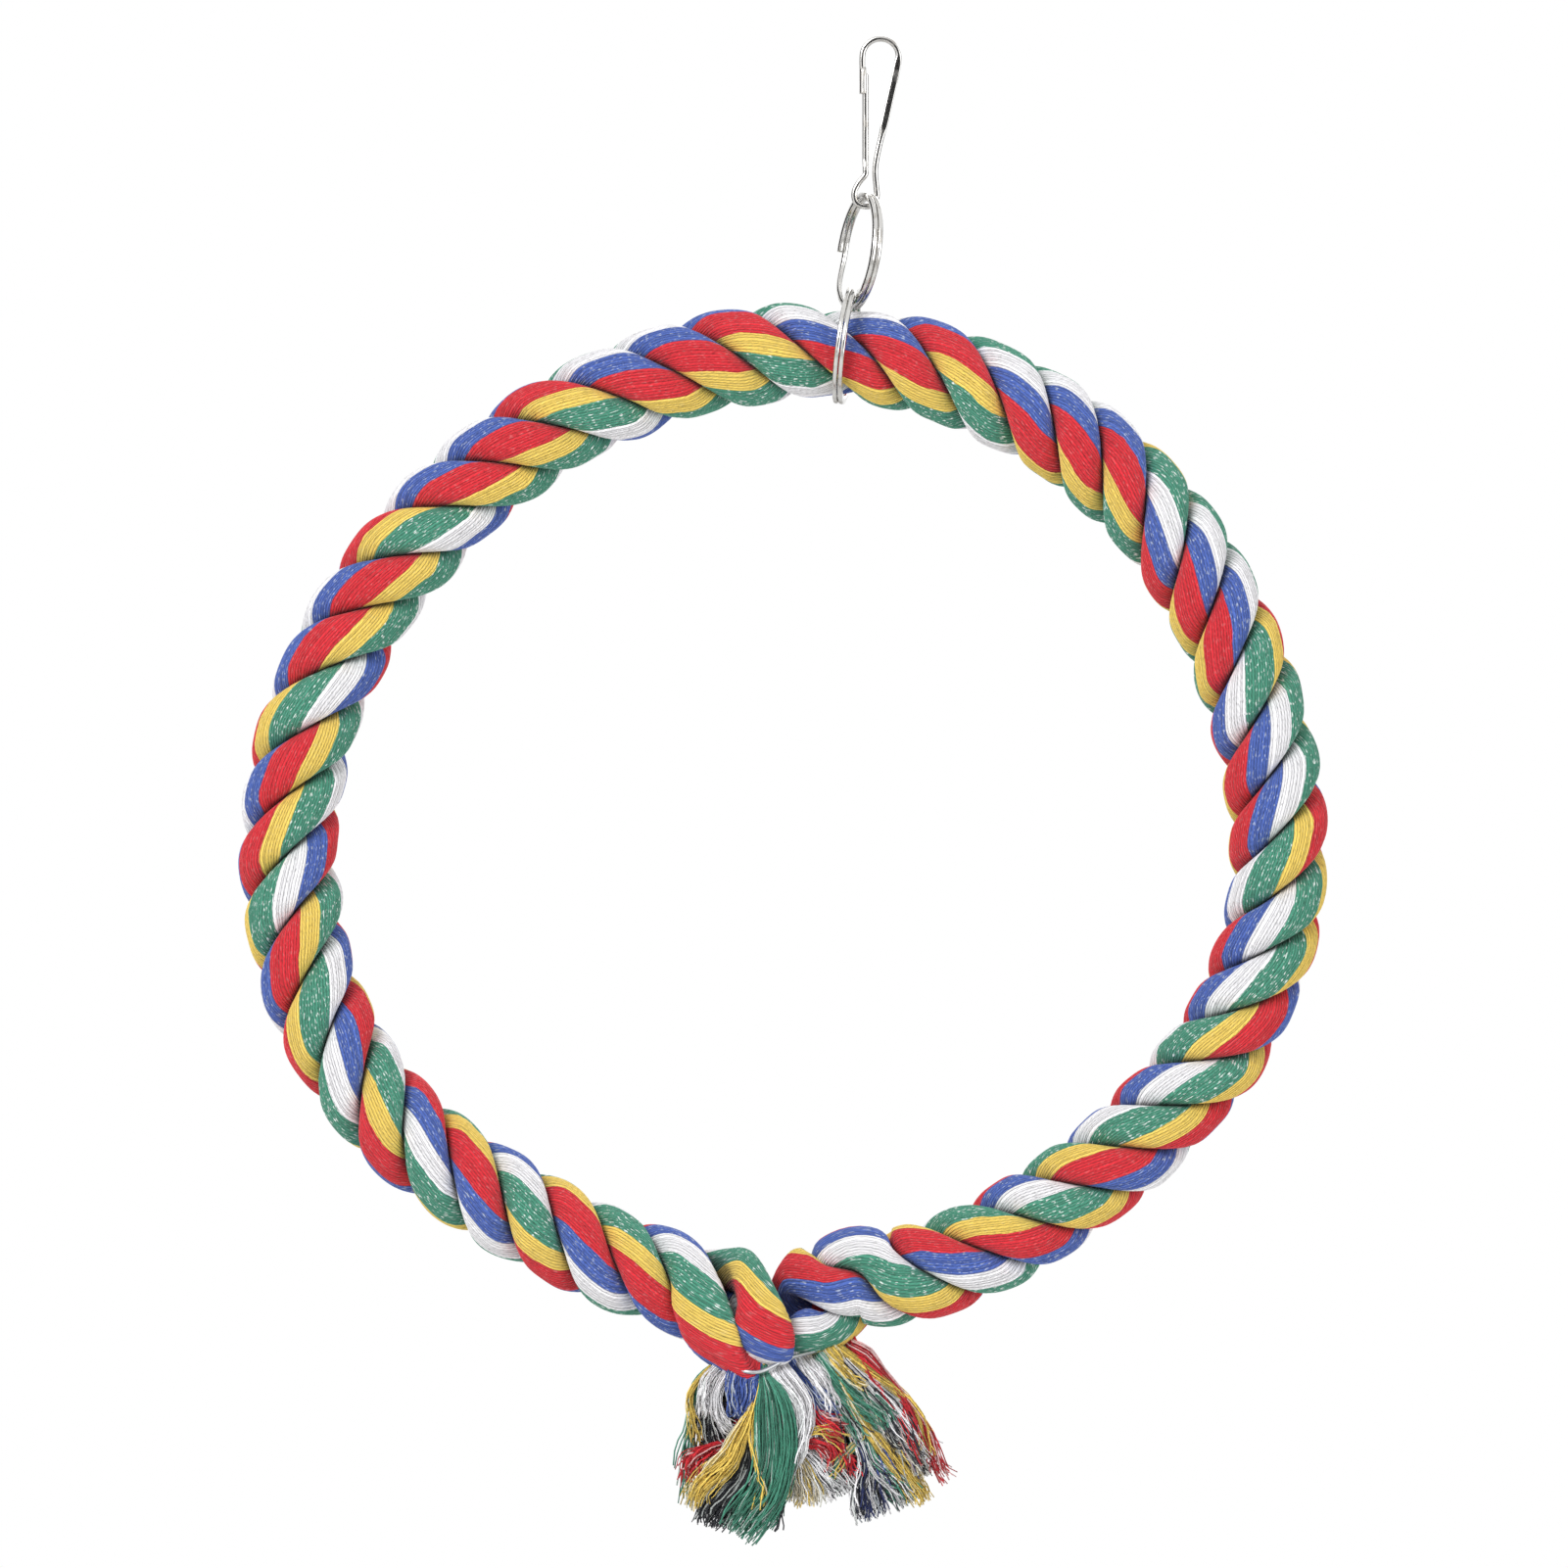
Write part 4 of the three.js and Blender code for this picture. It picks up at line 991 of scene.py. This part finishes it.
tie_points = even_line(smooth_line(tie_line(), CURVE_STEPS), TIE_ROWS)
tie_sag = sag_below((tie_points - tie_centre) @ picture_right)
tie_sag *= 1 - ease(tie_points[:, 1], WIRE_BACK, 0.0)
tie_points = tie_points - tie_sag[:, None] * picture_up
tie_rings = loop_centre + tube_rings(tie_points[None], TIE_WIRE_RADIUS, WIRE_SIDES) * MILLIMETRE
tie_wire = wire_piece("tie_wire_turn", tie_rings[0], zinc_material)
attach(tie_wire, "rope_loop")
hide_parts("tie_wire")

# Split rings: each is spring wire rolled flat, wound two turns and nickel plated. The lower one holds
# the rope, and the upper one links it to the hook.
RING_RADIUS = 13.4
RING_THICKNESS = 1.7
RING_WIRE_WIDTH = 1.18
RING_PITCH = 1.3
RING_ROWS_PER_TURN = 160
RING_TURNS = 44 / 24
RING_JOG = (21 / 24, 1.0)
RING_SIDES = 20
RING_CORNER = 0.62
RINGS = {
    "upper_split_ring": ("upper_ring", math.radians(17.12)),
    "lower_split_ring": ("lower_ring", math.radians(-6.02)),
}
NICKEL = (0.7, 0.69, 0.67, 1.0)
NICKEL_WORN = (0.46, 0.44, 0.41, 1.0)
WORN_GRAIN = 420.0
WORN_DETAIL = 4.0
WORN_RANGE = (0.52, 0.72)
WORN_ROUGHNESS = (0.1, 0.3)
SCRATCH_GRAIN = 2600.0
SCRATCH_DETAIL = 3.0
SCRATCH_ROUGHNESS = 0.08
NICKEL_RELIEF = 0.00008
NICKEL_RELIEF_STRENGTH = 0.25


def nickel_finish():
    """Bright nickel plate: one metal colour, dulled in small patches where a noise is high, with hair
    scratches in its roughness."""
    material, tree, shader = start_material("bright_nickel_plate")
    place = add_node(tree, "ShaderNodeTexCoord").outputs["Object"]
    patches = noise_over(tree, place, WORN_GRAIN, WORN_DETAIL)
    worn = spread_over(tree, patches, 0.0, 1.0, *WORN_RANGE)
    tree.links.new(mix_colours(tree, worn, NICKEL, NICKEL_WORN), shader.inputs["Base Color"])
    shader.inputs["Metallic"].default_value = 1.0
    scratches = noise_over(tree, place, SCRATCH_GRAIN, SCRATCH_DETAIL)
    scratched = spread_over(tree, scratches, 0.0, SCRATCH_ROUGHNESS)
    rough = work_out(tree, "ADD", spread_over(tree, worn, *WORN_ROUGHNESS), scratched)
    tree.links.new(rough, shader.inputs["Roughness"])
    emboss(tree, shader, patches, NICKEL_RELIEF, NICKEL_RELIEF_STRENGTH)
    return material


def rounded_outline(width, depth, corner, count):
    """Outline of a rolled wire: an oval whose sides are flattened by raising its sine and cosine to a
    power below one."""
    turn = np.linspace(0, 2 * np.pi, count, endpoint=False)
    return signed_power(np.cos(turn), corner) * width / 2, signed_power(np.sin(turn), corner) * depth / 2


def split_ring_rings():
    """Rings of points along two turns of wire about X: side by side, with one smooth sideways jog."""
    rows = int(RING_TURNS * RING_ROWS_PER_TURN)
    turns = np.linspace(0, RING_TURNS, rows)
    side = RING_PITCH * (ease(turns, *RING_JOG) - 0.5)
    along, out = rounded_outline(RING_WIRE_WIDTH, RING_THICKNESS, RING_CORNER, RING_SIDES)
    radius = RING_RADIUS + out[None]
    turn = 2 * np.pi * turns[:, None]
    return np.stack([side[:, None] + along, radius * np.cos(turn), radius * np.sin(turn)], axis=2)


nickel_material = nickel_finish()
coil = split_ring_rings()
for node, (body, ring_turn) in RINGS.items():
    low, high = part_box(node)
    middle = (np.array(low) + np.array(high)) / 2
    cosine, sine = math.cos(ring_turn), math.sin(ring_turn)
    turned = np.stack([
        coil[..., 0] * cosine - coil[..., 1] * sine,
        coil[..., 0] * sine + coil[..., 1] * cosine,
        coil[..., 2],
    ], axis=2)
    ring = wire_piece(f"{node}_coil", middle + turned * MILLIMETRE, nickel_material)
    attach(ring, body)
    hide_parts(node)

# Snap hook: one nickel-plated wire, bent into a crown over the cage bar, a flattened spine, a neck and
# an eye. Its end at the catch is folded into a short channel that holds the tip of the gate.
HOOK_LEAN = math.radians(7.6)
HOOK_WIRE_WIDTH = 1.4
HOOK_WIRE_DEPTH = 2.0
HOOK_CROWN_WIDTH = 7.3
HOOK_INSIDE_LENGTH = 38.8
HOOK_NECK_DROP = 30.3
HOOK_NECK_GAP = 1.0
HOOK_EYE_WIDTH = 4.0
HOOK_STUB_LENGTH = 1.2
HOOK_ROWS = 320
HOOK_SIDES = 28
HOOK_CORNER = 0.6
SPINE_WIDTH = 1.7
SPINE_CORNER = 0.2
SPINE_EASE = 1.0
SPINE_FOOT = (-33.0, -29.0)
SPINE_HEAD = (-5.5, -2.5)
CROWN_STEPS = 10
GATE_WIDTH = 1.3
GATE_CLEARANCE = 0.3
CATCH_WALL = 0.5
CATCH_LENGTH = 5.6
CATCH_DROP = 12.5
CATCH_LIP = 0.13
CATCH_FADE = 6.2
CATCH_HALF = 1.45
CATCH_ROWS = 28
CATCH_POINTS = 17
EYE_SHAPE = np.array([
    [0.96, 0.5], [1, 0.24], [0.62, 0.03], [-0.2, 0], [-0.84, 0.1], [-1, 0.34], [-0.62, 0.6],
])

crown_radius = (HOOK_CROWN_WIDTH + HOOK_WIRE_WIDTH) / 2
crown_middle = np.array([0.0, -HOOK_CROWN_WIDTH / 2])
catch_outer = -crown_radius - HOOK_WIRE_WIDTH / 2
slot_wall = catch_outer + CATCH_WALL
gate_across = slot_wall + GATE_CLEARANCE + GATE_WIDTH / 2
hook_neck = np.array([gate_across + GATE_WIDTH / 2 + HOOK_NECK_GAP + HOOK_WIRE_WIDTH / 2, -HOOK_NECK_DROP])
catch_top = -CATCH_DROP + CATCH_LENGTH
slot_top = catch_top - CATCH_WALL
gate_foot = -HOOK_NECK_DROP - GATE_CLEARANCE


def hook_line():
    """Line of the bent wire in its own plane, across and up: from the catch over the crown by an arc,
    straight down the spine to the neck, round the eye and up to the gate's foot."""
    to_neck = hook_neck - crown_middle
    facing = math.atan2(to_neck[1], to_neck[0])
    spine_start = facing + math.acos(crown_radius / np.linalg.norm(to_neck))
    turn = np.linspace(np.pi, spine_start, CROWN_STEPS + 1)
    crown = crown_middle + crown_radius * np.stack([np.cos(turn), np.sin(turn)], axis=1)
    eye_half = (HOOK_EYE_WIDTH + HOOK_WIRE_WIDTH) / 2
    eye_bottom = -HOOK_INSIDE_LENGTH - HOOK_WIRE_WIDTH / 2
    eye_height = -HOOK_NECK_DROP - eye_bottom
    eye = np.array([gate_across, eye_bottom]) + EYE_SHAPE * np.array([eye_half, eye_height])
    return np.vstack([
        [-crown_radius, (slot_top + catch_top) / 2],
        crown,
        (crown[-1] + hook_neck) / 2,
        hook_neck,
        eye,
        [gate_across, gate_foot - HOOK_STUB_LENGTH],
        [gate_across, gate_foot],
    ])


def flat_wire_rings(line, width, depth, corner, sides):
    """Rings of points along a line in the hook's plane: the rolled wire's outline, wide in the plane
    and deep across it."""
    slope = unit(np.gradient(line, axis=0))
    across, deep = rounded_outline(width, depth, corner, sides)
    beside = np.stack([-slope[:, 1], slope[:, 0]], axis=1)
    flat = line[:, None] + beside[:, None] * np.reshape(across, (-1, sides, 1))
    return np.stack([flat[..., 0], np.broadcast_to(deep, flat.shape[:2]), flat[..., 1]], axis=2)


def leaned(points):
    """Points of the upright hook turned about Y to the lean that it hangs at, in metres."""
    across = points[..., 0] * math.cos(HOOK_LEAN) - points[..., 2] * math.sin(HOOK_LEAN)
    up = points[..., 0] * math.sin(HOOK_LEAN) + points[..., 2] * math.cos(HOOK_LEAN)
    return np.stack([across, points[..., 1], up], axis=-1) * MILLIMETRE


hook_bend = even_line(smooth_line(hook_line(), CURVE_STEPS), HOOK_ROWS)
on_spine = ease(hook_bend[:, 0], 0.0, SPINE_EASE) * ease(hook_bend[:, 1], *SPINE_FOOT)
on_spine = (on_spine * (1 - ease(hook_bend[:, 1], *SPINE_HEAD)))[:, None]
spine_width = HOOK_WIRE_WIDTH + (SPINE_WIDTH - HOOK_WIRE_WIDTH) * on_spine
spine_corner = HOOK_CORNER + (SPINE_CORNER - HOOK_CORNER) * on_spine
hook_rings = leaned(flat_wire_rings(hook_bend, spine_width, HOOK_WIRE_DEPTH, spine_corner, HOOK_SIDES))
hook_wire = wire_piece("hook_bent_wire", hook_rings, nickel_material)
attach(hook_wire, "hook")
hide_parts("hook_wire")


def catch_rings():
    """Rings of points down the catch: the wire's end flattened into a strip and folded into a channel,
    its two sides turned towards the gate. The outline goes round the back of the fold and returns along
    its inside, which sinks from the open edge to the wall below the top."""
    heights = np.linspace(-CATCH_FADE, -CATCH_DROP, CATCH_ROWS)[:, None]
    spread = ease(-heights, CATCH_FADE, -catch_top)
    half = HOOK_WIRE_DEPTH / 2 + (CATCH_HALF - HOOK_WIRE_DEPTH / 2) * spread
    opened = ease(-heights, -slot_top, -slot_top + CATCH_WALL)
    turn = np.linspace(-np.pi / 2, np.pi / 2, CATCH_POINTS)[None]
    square = signed_power(np.sin(turn), HOOK_CORNER)
    bulge = np.cos(turn) ** HOOK_CORNER
    lip = gate_across + CATCH_LIP
    outer_deep = half * square
    outer_across = np.broadcast_to(lip - (lip - catch_outer) * bulge, outer_deep.shape)
    inner_across = lip - (lip - slot_wall) * bulge * opened
    inner_deep = (half - CATCH_WALL) * square
    across = np.concatenate([outer_across, inner_across[:, ::-1]], axis=1)
    deep = np.concatenate([outer_deep, inner_deep[:, ::-1]], axis=1)
    return np.stack([across, deep, np.broadcast_to(heights, across.shape)], axis=2)


catch = wire_piece("hook_catch", leaned(catch_rings())[:, ::-1], nickel_material)
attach(catch, "hook")

# Gate: the springy end of the hook's own wire, rolled thinner and standing from the neck of the eye
# into the catch. It runs on from the eye without a break and stands closed; on the real hook, opening it
# bends the wire at the neck.
GATE_FLAT = 1.5
GATE_CORNER = 0.8
GATE_ROWS = 60
GATE_ROOT = 0.3
GATE_ROOT_SHARE = 0.97
GATE_TAPER = 2.5

gate_heights = np.linspace(gate_foot - GATE_ROOT, slot_top - GATE_CLEARANCE, GATE_ROWS)
gate_line = np.stack([np.full(GATE_ROWS, gate_across), gate_heights], axis=1)
thinned = ease(gate_heights, gate_foot, gate_foot + GATE_TAPER)[:, None]
gate_flat = GATE_ROOT_SHARE * HOOK_WIRE_WIDTH * (1 - thinned) + GATE_FLAT * thinned
gate_deep = GATE_ROOT_SHARE * HOOK_WIRE_DEPTH * (1 - thinned) + GATE_WIDTH * thinned
gate_corner = HOOK_CORNER * (1 - thinned) + GATE_CORNER * thinned
gate_rings = leaned(flat_wire_rings(gate_line, gate_flat, gate_deep, gate_corner, HOOK_SIDES))
gate = wire_piece("gate_spring_arm", gate_rings, nickel_material)
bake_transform(gate)
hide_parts("gate_arm")

# Studio: a plain pale floor under the swing, a large soft lamp at the front left and two weaker ones.
# The world is white to the camera and in the metal, and softer as light. Black flags that only the
# metal reflects give it its dark lines.
FLOOR_HEIGHT = -0.95
FLOOR_RADIUS = 3.5
FLOOR_SIDES = 96
FLOOR_COLOUR = (0.84, 0.84, 0.83, 1.0)
FLOOR_ROUGHNESS = 0.8
WORLD_COLOUR = (1.0, 1.0, 1.0, 1.0)
WORLD_LIGHT = 0.53
LAMPS = {
    "key_lamp": ((-1.1, -1.7, 0.75), 1.1, 32.0),
    "fill_lamp": ((1.5, -1.3, 0.1), 1.4, 11.5),
    "back_lamp": ((0.3, 1.6, 0.9), 1.4, 11.5),
}
FLAG_COLOUR = (0.015, 0.015, 0.016, 1.0)
FLAG_ROUGHNESS = 1.0
FLAGS = {
    "front_flag": ((0.02, -2.7, 0.2), 1.3, 1.5),
    "left_flag": ((-2.35, 0.85, 0.0), 3.4, 2.4),
    "right_flag": ((2.35, 0.85, 0.0), 3.4, 2.4),
    "top_flag": ((0.0, 1.7, 1.7), 2.0, 1.2),
}

floor_turn = np.linspace(0, 2 * np.pi, FLOOR_SIDES, endpoint=False)
floor_rim = np.stack([np.cos(floor_turn), np.sin(floor_turn), np.zeros(FLOOR_SIDES)], axis=1)
floor_mesh = bpy.data.meshes.new("pale_floor")
floor_points = floor_rim * FLOOR_RADIUS + [0, 0, FLOOR_HEIGHT]
floor_mesh.from_pydata(floor_points.tolist(), [], [list(range(FLOOR_SIDES))])
floor = bpy.data.objects.new("pale_floor", floor_mesh)
bpy.context.scene.collection.objects.link(floor)
floor_material, _, floor_shader = start_material("pale_floor_paint")
floor_shader.inputs["Base Color"].default_value = FLOOR_COLOUR
floor_shader.inputs["Roughness"].default_value = FLOOR_ROUGHNESS
floor_mesh.materials.append(floor_material)

for lamp_name, (lamp_place, lamp_size, lamp_power) in LAMPS.items():
    lamp_data = bpy.data.lights.new(lamp_name, "AREA")
    lamp_data.size = lamp_size
    lamp_data.energy = lamp_power
    lamp = bpy.data.objects.new(lamp_name, lamp_data)
    lamp.location = lamp_place
    aim = Vector(loop_centre) - Vector(lamp_place)
    lamp.rotation_euler = aim.to_track_quat("-Z", "Y").to_euler()
    bpy.context.scene.collection.objects.link(lamp)

flag_material, _, flag_shader = start_material("black_flag_cloth")
flag_shader.inputs["Base Color"].default_value = FLAG_COLOUR
flag_shader.inputs["Roughness"].default_value = FLAG_ROUGHNESS
for flag_name, (flag_place, flag_width, flag_height) in FLAGS.items():
    facing = loop_centre - np.array(flag_place)
    aside = np.cross(facing, [0.0, 0.0, 1.0])
    upright = np.cross(aside, facing)
    aside *= flag_width / 2 / np.linalg.norm(aside)
    upright *= flag_height / 2 / np.linalg.norm(upright)
    corners = [-aside - upright, aside - upright, aside + upright, upright - aside]
    flag_mesh = bpy.data.meshes.new(flag_name)
    flag_mesh.from_pydata((np.array(flag_place) + corners).tolist(), [], [[0, 1, 2, 3]])
    flag_mesh.materials.append(flag_material)
    flag = bpy.data.objects.new(flag_name, flag_mesh)
    flag.visible_camera = False
    flag.visible_diffuse = False
    flag.visible_shadow = False
    bpy.context.scene.collection.objects.link(flag)

world = bpy.data.worlds.new("studio_world")
bpy.context.scene.world = world
world.use_nodes = True
world_tree = world.node_tree
ray = add_node(world_tree, "ShaderNodeLightPath").outputs
seen = work_out(world_tree, "MAXIMUM", ray["Is Camera Ray"], ray["Is Glossy Ray"])
seen = work_out(world_tree, "MAXIMUM", seen, ray["Is Transmission Ray"])
backdrop = world_tree.nodes["Background"]
backdrop.inputs["Color"].default_value = WORLD_COLOUR
world_tree.links.new(spread_over(world_tree, seen, WORLD_LIGHT, 1.0), backdrop.inputs["Strength"])
bpy.context.scene.view_settings.view_transform = "Standard"
